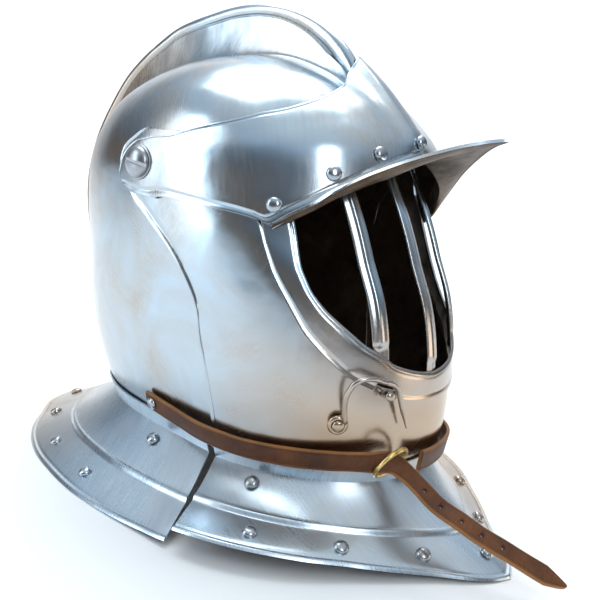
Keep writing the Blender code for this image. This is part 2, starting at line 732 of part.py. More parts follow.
# ---- rivets ----------------------------------------------------------------
def rivet(name, place, out, parent=None, mat=STEEL, radius=RIVET_RADIUS, height=RIVET_HEIGHT):
    profile = [(GAP, radius), (GAP + height * 0.45, radius * 0.9), (GAP + height * 0.8, radius * 0.62),
               (GAP + height, radius * 0.22)]
    return add_object(name, *lathe(profile, place, out, 10), mat, parent=parent)


def grid_place(grid, share_along, row):
    """Place and outward direction on a gorget plate, between two grid rows."""
    cols = grid.shape[1]
    c = share_along * (cols - 1)
    i = min(int(c), cols - 2)
    w = c - i
    r = min(int(row), grid.shape[0] - 2)
    x = row - r
    quad = [grid[r, i], grid[r, i + 1], grid[r + 1, i], grid[r + 1, i + 1]]
    p = (quad[0] * (1 - w) + quad[1] * w) * (1 - x) + (quad[2] * (1 - w) + quad[3] * w) * x
    n = np.cross(quad[3] - quad[0], quad[1] - quad[2])
    n /= np.linalg.norm(n)
    if n[2] < 0:
        n = -n
    return p, n


def mirrored(p):
    return np.array([p[0], -p[1], p[2]])


def rivet_pair(stem, place, out, parent):
    rivet(stem + "_right", place, out, parent)
    rivet(stem + "_left", mirrored(place), mirrored(out), parent)


def shell_normal(chart, grow, brow):
    p = shell_point(chart, grow, brow)
    a = shell_point((chart[0] + 0.5, chart[1]), grow, brow)
    b = shell_point((chart[0], chart[1] + 0.5), grow, brow)
    n = np.cross(a - p, b - p)
    n /= np.linalg.norm(n)
    if np.dot(n, p - np.array([-60, 0, 180])) < 0:
        n = -n
    return p, n


for k, (f, z) in enumerate(((38.9, 205), (62.2, 226.6), (74.5, 240.8)), start=1):
    place, out = shell_normal(chart_of(f, z, BROW, True), BROW, True)
    rivet_pair("brow_rivet_%d" % k, place, out, PEAK_AXIS)
front_of_brow = shell_point(medial(13.0), BROW, True, keel_lift)
rivet("brow_rivet_middle", front_of_brow + np.array([0.6, 0, 0]), (1.0, 0, 0.25), PEAK_AXIS)

place, out = grid_place(FRONT_GRID, 0.0, 7.15)
rivet("front_rivet_middle", place, (out[0], 0.0, out[2]), BEVOR_AXIS)
for k, share in enumerate((0.19, 0.445, 0.745), start=1):
    rivet_pair("front_rivet_%d" % k, *grid_place(FRONT_GRID, share, 7.15), BEVOR_AXIS)
for k, share in enumerate((0.42, 0.62, 0.81, 0.95), start=1):
    rivet_pair("rear_rivet_%d" % k, *grid_place(REAR_GRID, share, 7.2), None)
for stem, grid, share, row, axis in (("front_neck_rivet", FRONT_GRID, 0.75, 2.5, BEVOR_AXIS),
                                     ("rear_neck_rivet", REAR_GRID, 0.345, 2.4, None)):
    place, out = grid_place(grid, share, row)
    rivet_pair(stem, place + out * 0.5, out, axis)


# ---- pivot screws, washers and nuts ------------------------------------------
def build_pivot(side_name, side):
    out = np.array([0.0, side, 0.0])
    face = HALF_WIDTH + BROW
    base = np.array([PIVOT_F, 0.0, PIVOT_Z])
    head = [(72, SCREW_RADIUS), (face + GAP, SCREW_RADIUS), (face + GAP, 10.0), (face + GAP + 1.6, 10.0),
            (face + GAP + 3.6, 8.6), (face + GAP + 5.2, 5.6), (face + GAP + 5.9, 2.0)]
    screw = add_object("pivot_screw_" + side_name, *lathe(head, base, out, 28), DARK_STEEL)
    slot = cutter_from("slot_cutter_" + side_name, *box_between(
        base + out * (face + 3.6) + np.array([-14, -4 * side, -1.0]),
        base + out * (face + 11.6) + np.array([14, 0, 1.0])))
    cut(screw, slot)
    inside = HALF_WIDTH - SHEET - 1.4
    washer = lathe_ring(inside - 1.4, inside, SCREW_RADIUS + 0.5, 9.5, base, out, 24)
    add_object("pivot_washer_" + side_name, *washer, STEEL)
    nut = lathe_ring(inside - 6.2, inside - 1.4 - GAP, SCREW_RADIUS + 0.9, 7.4, base, out, 6)
    add_object("pivot_nut_" + side_name, *nut, DARK_STEEL, smooth=False)


def box_between(lo, hi):
    xs, ys, zs = (lo[0], hi[0]), (lo[1], hi[1]), (lo[2], hi[2])
    verts = [world((xs[i], ys[j], zs[k])) for i in (0, 1) for j in (0, 1) for k in (0, 1)]
    faces = [[0, 1, 3, 2], [4, 6, 7, 5], [0, 4, 5, 1], [2, 3, 7, 6], [0, 2, 6, 4], [1, 5, 7, 3]]
    return verts, faces


def lathe_ring(lo, hi, hole, outer, base, out, sides):
    """Flat ring with a round or faceted outside."""
    profile = [(lo, hole), (lo, outer), (hi, outer), (hi, hole)]
    verts, faces = lathe(profile, base, out, sides)
    faces = faces[:-2]
    faces += [[3 * sides + k, 3 * sides + (k + 1) % sides, (k + 1) % sides, k] for k in range(sides)]
    return verts, faces


build_pivot("right", 1)
build_pivot("left", -1)

# ---- hook, its eye stud and its keeper ---------------------------------------
HOOK_WIRE = [(92.2, 65, 84), (92.6, 68.3, 93.4), (94, 70.6, 101.5), (96, 70.7, 106.9), (98.2, 69.8, 111),
             (101.3, 66.7, 113.7), (104.4, 62.2, 114.4), (106.6, 56.8, 113.2), (109.2, 51.7, 111.6),
             (110.6, 45.3, 109), (111.2, 40, 103.3), (112.7, 34.7, 91.6), (114.3, 30.2, 80.8)]


def ring_on(centre, axis, radius, height):
    """Points of a circle round an axis, and its two side directions."""
    axis = axis / np.linalg.norm(axis)
    u = np.cross(axis, (0.0, 0.0, 1.0))
    u /= np.linalg.norm(u)
    v = np.cross(axis, u)
    return centre + axis * height, u * radius, v * radius


def torus(centre, u, v, wire, around=14, sides=8):
    """Closed ring of round wire; u and v span its mean circle."""
    verts, faces = [], []
    up = np.cross(u, v)
    up /= np.linalg.norm(up)
    for i in range(around):
        a = 2 * math.pi * i / around
        spoke = math.cos(a) * u + math.sin(a) * v
        out = spoke / np.linalg.norm(spoke)
        for k in range(sides):
            b = 2 * math.pi * k / sides
            verts.append(world(centre + spoke + wire * (math.cos(b) * out + math.sin(b) * up)))
    for i in range(around):
        for k in range(sides):
            j = (i + 1) % around
            m = (k + 1) % sides
            faces.append([i * sides + k, i * sides + m, j * sides + m, j * sides + k])
    return verts, faces


def build_hook():
    axis = HOOK_AXIS / np.linalg.norm(HOOK_AXIS)
    centre, u, v = ring_on(HOOK_EYE, axis, 4.6, 3.4)
    path = spline(HOOK_WIRE, 22)
    start = path[0] - centre
    flat = start - axis * np.dot(start, axis)
    joint = centre + flat / np.linalg.norm(flat) * 4.6
    path[0] = joint
    radii = [1.7] * 17 + [1.6, 1.4, 1.2, 0.9, 0.6]
    hook = add_object("visor_hook", *tube(path, radii, 8), STEEL, parent=BEVOR_AXIS)
    ring = cutter_from("hook_ring_part", *torus(centre, u, v, 1.7))
    join(hook, ring)
    move_origin(hook, world(HOOK_EYE))
    stud = [(GAP + 0.4, 2.3), (5.5, 2.3), (5.5, 3.7), (6.3, 3.4), (7.0, 2.4), (7.4, 1.0)]
    add_object("hook_eye_stud", *lathe(stud, HOOK_EYE, axis, 16), STEEL, parent=BEVOR_AXIS)
    out = KEEPER_OUT / np.linalg.norm(KEEPER_OUT)
    keeper = [(GAP, 1.9), (7.6, 1.9), (7.6, 3.2), (8.6, 3.0), (9.4, 1.9), (9.7, 0.8)]
    add_object("hook_keeper", *lathe(keeper, KEEPER_FOOT, out, 16), STEEL, parent=BEVOR_AXIS)


def join(obj, extra):
    mod = obj.modifiers.new("join", "BOOLEAN")
    mod.operation = "UNION"
    mod.solver = "EXACT"
    mod.object = extra


def move_origin(obj, place):
    """Move an object's origin by a world step without moving its shape."""
    shift = Vector(place)
    for vert in obj.data.vertices:
        vert.co -= shift
    obj.location = obj.location + shift


build_hook()

# ---- neck straps, buckle -----------------------------------------------------
STRAP_COURSE = [(-57, 79.6, 59.6), (-40, 81.5, 58), (-24, 83, 56.6), (-8, 84.5, 55), (6, 85.2, 54.6),
                (30, 83.4, 54.6), (51, 79.4, 56), (69, 73.4, 57.6), (85.5, 65.6, 59.6), (98, 57.5, 61.2),
                (106, 51, 61.8)]
RING_CENTRE = np.array([113.2, 42.6, 61.4])
RING_AXIS = np.array([0.857, 0.047, -0.513])
TAIL = [(113.2, 42.6, 61.4), (120, 38.5, 57.2), (132, 36.5, 50), (144.6, 36, 43), (159.3, 34, 38),
        (171.4, 31, 33), (185.5, 26, 27.8), (199, 20, 21.8), (212.3, 13, 15.7), (217, 10, 13.4)]
SHORT_COURSE = [(-57, -79.6, 59.6), (-40, -81.5, 58), (-24, -83, 56.6), (-8, -84.5, 55), (6, -85.2, 54.6),
                (30, -83.4, 54.6), (51, -79.4, 56), (69, -73.4, 57), (85.5, -64, 57.4), (100, -50, 57.6),
                (110, -34, 58), (116.5, -14, 58.6), (119.5, 6, 59.2), (120, 20, 60)]


def facing(p):
    """Outward direction of the skull's shape at a helmet point."""
    def value(q):
        rho = math.hypot(q[0] - PIVOT_F, q[2] - PIVOT_Z)
        beta = math.degrees(math.atan2(q[2] - PIVOT_Z, q[0] - PIVOT_F))
        return (rho / radius_at(beta, 0)) ** power_at(beta) + (abs(q[1]) / HALF_WIDTH) ** SIDE_POWER
    slope = np.array([value(p + step) - value(p - step) for step in np.eye(3)])
    return slope / np.linalg.norm(slope)


def strap_frames(centres, leans):
    """Outward and across directions along a strap."""
    tang = np.gradient(centres, axis=0)
    tang /= np.linalg.norm(tang, axis=1, keepdims=True)
    outs, cross = [], []
    for t, want in zip(tang, leans):
        o = want - t * np.dot(want, t)
        o /= np.linalg.norm(o)
        outs.append(o)
        cross.append(np.cross(t, o))
    return np.array(outs), np.array(cross)


def build_straps():
    centres = spline(STRAP_COURSE + TAIL, 46)
    leans = []
    for p in centres:
        t = min(max((p[0] - 104) / 20.0, 0.0), 1.0)
        leans.append(facing(p) * (1 - t) + np.array([0.42, 0.30, 0.86]) * t)
    out, across = strap_frames(centres, leans)
    strap = add_object("neck_strap", *ribbon(centres, out, across, STRAP_WIDTH, STRAP_THICK, True), LEATHER,
                       smooth=False)
    for k in range(5):
        i = 31 + 2 * k
        hole = lathe([(-3, 1.3), (6, 1.3)], centres[i], out[i], 10)
        cut(strap, cutter_from("strap_hole_cutter_%d" % (k + 1), *hole))
    short = spline(SHORT_COURSE, 30)
    short_out, short_across = strap_frames(short, [facing(p) for p in short])
    add_object("short_strap", *ribbon(short, short_out, short_across, STRAP_WIDTH, STRAP_THICK), LEATHER,
               smooth=False)
    for name, path, outs in (("strap_rivet", centres, out), ("short_strap_rivet", short, short_out)):
        rivet(name, path[1] + outs[1] * STRAP_THICK, outs[1], None, STEEL, 4.2, 2.4)
    axis = RING_AXIS / np.linalg.norm(RING_AXIS)
    u = np.cross(axis, (0.0, 0.0, 1.0))
    u /= np.linalg.norm(u)
    v = np.cross(axis, u)
    middle = RING_CENTRE + out[24] * STRAP_THICK / 2
    add_object("strap_ring", *torus(middle, u * 11.9, v * 11.9, 1.3, 20, 8), BRASS, parent=BEVOR_AXIS)


build_straps()

# ---- padded liner ------------------------------------------------------------
LINER_OUT = -3.4
LINER_IN = -9.0
LINER_LOW = [(28, 243), (10, 240), (-12, 237), (-34, 236), (-63, 237), (-88, 229), (-103, 210), (-115, 188),
             (-127, 165), (-142, 146), (-155, 140)]


def build_liner():
    columns = 22
    low = [medial(26)] + [chart_of(f, z, LINER_OUT) for f, z in LINER_LOW] + [medial(-141)]
    border = spline(low, columns)
    crown = [medial(b) for b in np.linspace(26, 219, columns)]
    rows = blend_rows(border, np.array(crown), np.linspace(0, 1, 9))
    outer = [[shell_point(p, LINER_OUT) for p in row] for row in rows]
    inner = [[shell_point(p, LINER_IN) for p in row] for row in rows]
    add_object("liner", *two_sheets(outer, inner), LINEN)


build_liner()

bpy.context.view_layer.update()
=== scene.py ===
"""Looks of the close helmet: smooth steel plates, leather straps and a quilted liner.

Lengths are millimetres in the helmet's own axes, F forward, N to the wearer's right and
Z up, until place() turns them into the row frame's metres.
"""
import json
import math

import bmesh
import bpy
import numpy as np
from mathutils import Matrix, Vector


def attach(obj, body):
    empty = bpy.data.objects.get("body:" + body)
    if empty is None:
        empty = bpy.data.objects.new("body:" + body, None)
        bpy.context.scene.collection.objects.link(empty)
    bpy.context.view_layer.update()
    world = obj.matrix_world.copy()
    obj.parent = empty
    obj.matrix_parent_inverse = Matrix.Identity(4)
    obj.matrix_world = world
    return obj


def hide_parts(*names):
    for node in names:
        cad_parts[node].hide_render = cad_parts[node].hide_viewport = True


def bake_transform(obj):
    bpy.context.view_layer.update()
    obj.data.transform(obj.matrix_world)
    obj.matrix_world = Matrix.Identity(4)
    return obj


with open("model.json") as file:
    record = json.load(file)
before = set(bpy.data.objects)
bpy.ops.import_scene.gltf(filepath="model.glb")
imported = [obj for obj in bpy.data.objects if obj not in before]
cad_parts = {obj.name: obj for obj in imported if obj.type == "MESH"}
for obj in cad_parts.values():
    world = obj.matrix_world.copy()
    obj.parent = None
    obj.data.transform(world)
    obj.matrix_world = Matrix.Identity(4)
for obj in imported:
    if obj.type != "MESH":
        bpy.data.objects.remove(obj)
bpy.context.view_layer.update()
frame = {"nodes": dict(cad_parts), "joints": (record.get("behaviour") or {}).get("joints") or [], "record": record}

MM = 0.001
PIVOT = next(joint["pos_m"] for joint in frame["joints"] if joint["name"] == "bevor_hinge")

# ---- driving dimensions, the same as the CAD model's ----
PIVOT_F = -63.0            # temple pivots, fore and aft
PIVOT_Z = PIVOT[2] / MM
CENTRE_F = PIVOT_F + PIVOT[1] / MM     # helmet F that lies on the frame's Y = 0
SHEET = 1.2                # thickness of every steel plate
HALF_WIDTH = 95.0          # skull, in the pivots' plane
SKULL, BEVOR, VISOR, BROW = 0.0, 1.85, 4.0, 6.0   # how far each shell stands outside the skull
GAP = 0.3                  # clearance under a rivet's head
STRAP_WIDTH = 13.0
STRAP_THICK = 2.6
COMB_FOOT = 9.0            # half width of the comb where it meets the skull
COMB_ENDS = (14, 243)      # angles round the pivot axis where the comb starts and ends
SIDE_POWER = 2.2           # how square the shells are towards the temples
EDGE_ROUND = 0.00035       # metres, worn corners of the sheet
FINE = 3                   # columns here for each CAD column
HOOK_WIRE_RADIUS = 1.7
HOOK_EYE_RADIUS = 4.6
RING_RADIUS = 11.8
RING_WIRE_RADIUS = 1.45
BAR_WIDTH = 11.0
BAR_DEPTH = 4.6
PEAK_DROP = 2.8            # the peak bends down this much at its root
PEAK_TUCK = 1.3            # the peak's flange lies this far inside the brow plate

# angle round the pivot axis (0 = forward, 90 = up), medial radius, roundness
PROFILE = [
    (-180, 123, 1.95), (-160, 132, 1.95), (-140, 147, 2.0), (-120, 188, 2.1),
    (-100, 222, 2.5), (-80, 236, 3.0), (-60, 266, 3.0), (-45, 243, 3.0),
    (-32, 203, 3.0), (-23, 177, 3.0), (-15, 154, 3.0), (0, 128, 3.0),
    (12, 117, 2.8), (24, 112, 2.6), (36, 105, 2.45), (56, 91, 2.3),
    (85, 80, 2.2), (112, 80, 2.1), (135, 89, 2.0), (160, 108, 1.95),
]
# the brow plate stands off the skull in front, to clear the rising visor
BROW_PROFILE = [
    (-180, 131), (-90, 245), (-60, 274), (-45, 251), (-30, 212), (-20, 184), (-14, 168), (-7, 158),
    (0, 150), (12, 144), (20, 134), (28, 124), (36, 114.5), (44, 106.5), (60, 97), (90, 87), (130, 93),
]
# crest of the comb, and of the hollow keel on the brow plate, as radii round the pivot axis
COMB = [
    (30, 108), (36, 112), (42, 117.4), (50, 118.6), (62, 118.2), (72, 117.2),
    (83, 116.6), (95, 116.8), (110, 118.5), (119, 122), (129, 128), (138, 133),
    (147, 140), (155, 147), (165, 155), (172, 162), (178, 168), (185, 174),
    (192, 178), (200, 180), (210, 180), (220, 176), (228, 170), (233, 173), (238, 180), (243, 190),
]
KEEL = [(10, 145), (13, 146), (19, 139.5), (25, 133.5), (32, 128), (38, 124), (44, 120.8), (50, 119)]
# plate outlines in side view, as F and Z
SKULL_EDGE = [(44, 240), (20, 226), (4, 210), (-3, 190), (-9, 172), (-10, 158), (-5, 142),
              (0, 130), (3, 115), (7, 96), (11, 75), (14, 46), (-10, 41), (-40, 38), (-70, 36),
              (-105, 37), (-130, 40)]
BEVOR_LOW = [(-81, 211), (-75, 197), (-64, 188), (-55, 182), (-45, 175), (-35, 167), (-26, 159),
             (-19, 151), (-12, 142), (-7, 132), (-5, 118), (0, 98), (4, 75), (9, 47),
             (30, 44), (55, 44), (80, 46), (100, 50)]
BEVOR_TOP = [(-72, 236), (-56, 236), (-30, 224), (0, 212), (28, 198), (40, 178), (46, 166), (56, 152),
             (68, 140), (80, 127), (89, 116), (96, 109), (103, 104)]
# points on the visor's opening with the points across the band from them
VISOR_PAIRS = [
    ((55, 235), (46, 245.5)), ((44, 231), (20, 243)), ((39.5, 225), (-15, 239.5)),
    ((38.6, 222), (-45, 240)), ((38.4, 220), (-65, 239.5)), ((38.3, 218.5), (-80, 230)),
    ((38.4, 217), (-85, 218)), ((38.6, 215.5), (-81, 206)), ((39, 214), (-68, 200)),
    ((39.6, 212), (-45, 202)), ((41, 208.5), (-15, 203.5)), ((43, 204.5), (14, 202.5)),
    ((46, 199), (25, 198)), ((51, 187), (30, 190)), ((54.5, 178), (34, 182)),
    ((57.5, 171), (38.5, 173)), ((61, 165), (42, 166.5)), ((65, 158.5), (47, 159)),
    ((69, 153.5), (52, 152)), ((74, 148), (58.5, 142.5)), ((80, 142.5), (65, 133.5)),
    ((87, 136), (75.5, 123)), ((93, 130), (85, 114)), ((98, 126), (91, 109.2)), ((102, 122), (97, 105.5)),
    ((104.5, 118.5), (103, 101.6)),
]
BROW_LOW = [(-77, 201), (-66, 198), (-57, 197.5), (-48, 198), (-38, 199), (-24, 198.7),
            (-8, 198.2), (6, 197.8), (19.5, 197), (30.5, 195.6), (38.5, 194), (47, 201), (57, 209),
            (64, 216), (72, 224), (78, 232)]
BROW_TOP = [(-83, 211), (-79, 224), (-69, 232), (-56, 235), (-42, 237), (-27, 242), (0, 250), (15, 256),
            (28, 261.5), (36, 269), (37, 276), (30, 284)]
PEAK_FLANGE = [(36, 196), (41, 206), (50, 215), (57, 223), (64, 231), (68, 239)]
PEAK_EDGE = [(38, 86, 193), (48, 80.5, 200.5), (57.5, 73, 208), (73.5, 59, 224.5), (91.5, 40, 238),
             (111, 21, 249), (125, 8, 255), (136, 0, 258)]
# plan angle, plan radius and height of the gorget rims
FRONT_RIM = [(0, 183, 0), (5, 177, 1), (16, 157, 4), (33, 144, 9), (45, 142, 12), (57, 141, 14),
             (70, 140, 15), (78, 138, 14)]
REAR_RIM = [(80.5, 136, 4), (91, 134, 2), (103, 137, 0.6), (114, 144, 0), (130, 160, 0), (142, 178, 0),
            (155, 199, 0), (164, 213, 0), (171, 228, 0), (180, 237, 0)]
HOOK_EYE = np.array([85.8, 63.8, 83.0])
HOOK_AXIS = np.array([0.679, 0.712, -0.177])
HOOK_WIRE = [(92.2, 65, 84), (92.6, 68.3, 93.4), (94, 70.6, 101.5), (96, 70.7, 106.9), (98.2, 69.8, 111),
             (101.3, 66.7, 113.7), (104.4, 62.2, 114.4), (106.6, 56.8, 113.2), (109.2, 51.7, 111.6),
             (110.6, 45.3, 109), (111.2, 40, 103.3), (112.7, 34.7, 91.6), (114.3, 30.2, 80.8)]
# the post on the bevor that the hook drops over
KEEPER_FOOT = np.array([102.5, 43.5, 101.6])
KEEPER_OUT = np.array([0.90, 0.42, 0.12])
# the long strap round the neck, its ring, the tail beyond it, and the short strap from the far side
STRAP_COURSE = [(-57, 79.6, 59.6), (-40, 81.5, 58), (-24, 83, 56.6), (-8, 84.5, 55), (6, 85.2, 54.6),
                (30, 83.4, 54.6), (51, 79.4, 56), (69, 73.4, 57.6), (85.5, 65.6, 59.6), (98, 57.5, 61.2),
                (106, 51, 61.8)]
RING_CENTRE = (113.2, 42.6, 61.4)
RING_AXIS = np.array([0.857, 0.047, -0.513])
TAIL = [RING_CENTRE, (120, 38.5, 57.2), (132, 36.5, 50), (144.6, 36, 43), (159.3, 34, 38),
        (171.4, 31, 33), (185.5, 26, 27.8), (199, 20, 21.8), (212.3, 13, 15.7), (217, 10, 13.4)]
SHORT_COURSE = [(f, -n, z) for f, n, z in STRAP_COURSE[:7]]
SHORT_COURSE += [(69, -73.4, 57), (85.5, -64, 57.4), (100, -50, 57.6), (110, -34, 58),
                 (116.5, -14, 58.6), (119.5, 6, 59.2), (120, 20, 60)]
LINER_LOW = [(28, 243), (10, 240), (-12, 237), (-34, 236), (-63, 237), (-88, 229), (-103, 210),
             (-115, 188), (-127, 165), (-142, 146), (-155, 140)]
LINER_OUT, LINER_IN = -3.4, -9.0     # how far its faces stand outside the skull
LINER_ENDS = (26, 219)
QUILT = 26.0               # pitch of the liner's diamond quilting

CAMERA_PLACE = (-0.44677, -0.32867 + CENTRE_F * MM, 0.23725)
CAMERA_FORWARD = (0.79304, 0.58113, -0.18267)
CAMERA_UP = (0.07465, 0.20490, 0.97593)
LENS = 47.98


# ---- small helpers ----
def unit(v):
    """Vectors along the last axis, made 1 long."""
    return v / np.linalg.norm(v, axis=-1, keepdims=True)


def run_along(points, axis=0):
    """Distance covered from the first point on, along one axis of a line or a grid."""
    run = np.zeros(points.shape[:-1])
    steps = np.linalg.norm(np.diff(points, axis=axis), axis=-1)
    run[(slice(None),) * axis + (slice(1, None),)] = np.cumsum(steps, axis=axis)
    return run


def hermite(t, a, b, lo, hi):
    """Cubic from a to b with slopes lo and hi."""
    return ((2 * t ** 3 - 3 * t ** 2 + 1) * a + (t ** 3 - 2 * t ** 2 + t) * lo
            + (3 * t ** 2 - 2 * t ** 3) * b + (t ** 3 - t ** 2) * hi)


def hump(x, centre, half):
    """Smooth bump of height 1 at a centre, gone beyond half."""
    return np.clip(1 - ((x - centre) / half) ** 2, 0, 1) ** 2


def ease(x, lo, hi):
    """Smooth step from 0 at lo to 1 at hi."""
    t = np.clip((x - lo) / (hi - lo), 0, 1)
    return t * t * (3 - 2 * t)


# ---- smooth tables and the shells' shape ----
def smooth_table(table, x, column=1, period=None):
    """Read a table at x along a smooth curve through its rows."""
    rows = list(table)
    if period:
        first = [tuple([r[0] + period] + list(r[1:])) for r in rows[:2]]
        last = [tuple([r[0] - period] + list(r[1:])) for r in rows[-2:]]
        rows = last + rows + first
        x = (x - table[0][0]) % period + table[0][0]
    keys = [r[0] for r in rows]
    vals = [r[column] for r in rows]
    if x <= keys[0]:
        return vals[0]
    if x >= keys[-1]:
        return vals[-1]
    i = max(k for k in range(len(keys) - 1) if keys[k] <= x)

    def slope(k):
        if k == 0 or k == len(keys) - 1:
            j = min(max(k, 1), len(keys) - 1)
            return (vals[j] - vals[j - 1]) / (keys[j] - keys[j - 1])
        return (vals[k + 1] - vals[k - 1]) / (keys[k + 1] - keys[k - 1])

    h = keys[i + 1] - keys[i]
    return hermite((x - keys[i]) / h, vals[i], vals[i + 1], h * slope(i), h * slope(i + 1))


ANGLES = np.arange(-180, 180.01, 0.25)
RADII = np.array([smooth_table(PROFILE, a, period=360) for a in ANGLES])
POWERS = np.array([smooth_table(PROFILE, a, column=2, period=360) for a in ANGLES])
BROW_RADII = np.array([smooth_table(BROW_PROFILE, a, period=360) for a in ANGLES])
KEEL_RADII = np.array([smooth_table(KEEL, a) for a in ANGLES])


def lookup(beta, values):
    return np.interp((np.asarray(beta, float) + 180) % 360 - 180, ANGLES, values)


def radius_at(beta, grow=0.0, brow=False):
    """Medial radius of a shell; the brow plate has a profile of its own."""
    return lookup(beta, BROW_RADII) + grow - BROW if brow else lookup(beta, RADII) + grow


def power_at(beta):
    """Roundness of the shells' sections."""
    return lookup(beta, POWERS)


def side_view(f, z):
    """Reach and angle round the pivot axis of a place in side view."""
    return math.hypot(f - PIVOT_F, z - PIVOT_Z), math.degrees(math.atan2(z - PIVOT_Z, f - PIVOT_F))


def section_value(f, n, z, grow=0.0):
    """1 on a shell, more outside it."""
    rho, beta = side_view(f, z)
    ratio = rho / float(radius_at(beta, grow))
    return ratio ** float(power_at(beta)) + (abs(n) / (HALF_WIDTH + grow)) ** SIDE_POWER


def polar(beta, rho, n):
    """Angle and reach round the pivot axis to a helmet point."""
    a = np.radians(beta)
    f, z = PIVOT_F + rho * np.cos(a), PIVOT_Z + rho * np.sin(a)
    return np.stack(np.broadcast_arrays(f, n, z), axis=-1)


def keel_lift(beta, n):
    """How far the brow plate's hollow keel stands out of its shell."""
    height = np.maximum(np.interp(beta, ANGLES, KEEL_RADII) - radius_at(beta, BROW, True), 0.0)
    height *= np.clip((beta - 6) / 10.0, 0, 1) * (beta < 70)
    width = 8.0 + np.maximum(44.0 - beta, 0.0) * 0.12
    return height / (1 + (n / width) ** 4)


def shell(chart, grow, brow=False, lift=None):
    """Chart places, in degrees from the pivot pole, to points on a shell."""
    chart = np.asarray(chart, float)
    psi = np.radians(np.minimum(np.hypot(chart[..., 0], chart[..., 1]), 90.0))
    beta = np.degrees(np.arctan2(chart[..., 1], chart[..., 0]))
    power = power_at(beta)
    s, c = np.maximum(np.sin(psi), 1e-6), np.maximum(np.cos(psi), 1e-9)
    k = np.ones_like(s)
    for _ in range(25):
        value = (k * s) ** power + (k * c) ** SIDE_POWER - 1
        slope = power * s * (k * s) ** (power - 1) + SIDE_POWER * c * (k * c) ** (SIDE_POWER - 1)
        k = k - value / slope
    rho, n = k * s * radius_at(beta, grow, brow), k * c * (HALF_WIDTH + grow)
    n = np.where(psi > math.radians(89.999), 0.0, n)
    if lift:
        rho = rho + lift(beta, n)
    return polar(beta, rho, n)


def chart_of(f, z, grow, brow=False):
    """Side-view position on a shell to its chart position."""
    rho, beta = side_view(f, z)
    ratio = rho / float(radius_at(beta, grow, brow))
    side = max(1 - ratio ** float(power_at(beta)), 0.0) ** (1 / SIDE_POWER)
    return medial(beta) * math.degrees(math.atan2(ratio, side)) / 90.0


def chart_at(beta, n, grow):
    """Chart place on a shell at a distance n from the middle line."""
    side = min(abs(n) / (HALF_WIDTH + grow), 0.999)
    ratio = (1 - side ** SIDE_POWER) ** (1 / float(power_at(beta)))
    return medial(beta) * math.degrees(math.atan2(ratio, side)) / 90.0


def medial(beta):
    """Chart place on the middle line."""
    a = math.radians(beta)
    return np.array([90.0 * math.cos(a), 90.0 * math.sin(a)])


def spline(points, count, repeat=None):
    """Smooth curve through the points, evenly spaced, or with repeat steps in each span."""
    pts = [np.asarray(p, float) for p in points]
    dense = []
    for i in range(len(pts) - 1):
        a, b = pts[i], pts[i + 1]
        before = pts[i - 1] if i else 2 * a - b
        after = pts[i + 2] if i + 2 < len(pts) else 2 * b - a
        lo, hi = (b - before) / 2, (after - a) / 2
        limit = np.linalg.norm(b - a) * 1.2
        for v in (lo, hi):
            size = np.linalg.norm(v)
            if size > limit:
                v *= limit / size
        for t in np.linspace(0, 1, repeat[i] if repeat else 24, endpoint=False):
            dense.append(hermite(t, a, b, lo, hi))
    dense = np.array(dense + [pts[-1]])
    if repeat:
        return dense
    along = run_along(dense)
    want = np.linspace(0, along[-1], count)
    return np.stack([np.interp(want, along, dense[:, k]) for k in range(dense.shape[1])], axis=1)


def outline(table, grow, last, count, brow=False):
    """Chart places along a plate's edge given in side view, ending on the middle line."""
    return spline([chart_of(f, z, grow, brow) for f, z in table] + [medial(last)], count)


def between(a, b, t):
    """Chart places a share t of the way from a to b; the middle line stays on the middle line."""
    p = a + (b - a) * t
    far_a, far_b = (np.linalg.norm(v, axis=-1, keepdims=True) for v in (a, b))
    weight = (np.minimum(np.minimum(far_a, far_b), 90.0) / 90.0) ** 8
    want = far_a + (far_b - far_a) * t
    far = np.maximum(np.linalg.norm(p, axis=-1, keepdims=True), 1e-6)
    return p * (1 + weight * (want / far - 1))


def normals_of(grid, behind):
    """Unit normals of a grid of points, away from a place behind it."""
    n = np.cross(np.gradient(grid, axis=0), np.gradient(grid, axis=1))
    n /= np.maximum(np.linalg.norm(n, axis=2, keepdims=True), 1e-9)
    if np.mean(np.sum(n * (grid - np.array(behind)), axis=2)) < 0:
        n = -n
    n[np.abs(grid[:, :, 1]) < 1e-6, 1] = 0
    return unit(n)


RIM_ROWS = np.array([0, 0.5, 1.0, 1.6, 2.2, 2.8, 3.4, 4.2, 5.2])   # distances from an edge


def strip(first, last, grow, rows, brow=False, lift=None, relief=None):
    """Outer and inner grids between two matching rows of chart places.

    Rows crowd at both edges; relief raises the outer face by the distances from the edges.
    """
    ends = [shell(between(first, last, t), grow, brow, lift) for t in (0.0, 0.5, 1.0)]
    length = sum(np.linalg.norm(b - a, axis=1) for a, b in zip(ends, ends[1:]))
    start = RIM_ROWS[:, None] * np.minimum(1.0, 0.4 * length / RIM_ROWS[-1]) / length
    end = 1 - start[::-1]
    inside = np.linspace(0, 1, rows + 2)[1:-1, None]
    shares = np.concatenate([start, start[-1] + (end[0] - start[-1]) * inside, end])
    chart = between(first[None], last[None], shares[..., None])
    rise = relief(shares * length, (1 - shares) * length, chart) if relief else 0.0
    outer = shell(chart, grow + rise, brow, lift)
    inner = shell(chart, grow - SHEET + np.maximum(rise, 0.0) * 0.5, brow, lift)
    return outer, inner


# ---- meshes ----
def place(points):
    """Helmet millimetres to the row frame's metres."""
    p = np.asarray(points, float)
    return np.stack([-p[..., 1], CENTRE_F - p[..., 0], p[..., 2]], axis=-1) * MM


def heading(foot, out):
    """Row-frame direction of a helmet direction."""
    return Vector(place(foot + out)) - Vector(place(foot))


def add_object(name, data):
    obj = bpy.data.objects.new(name, data)
    bpy.context.scene.collection.objects.link(obj)
    return obj


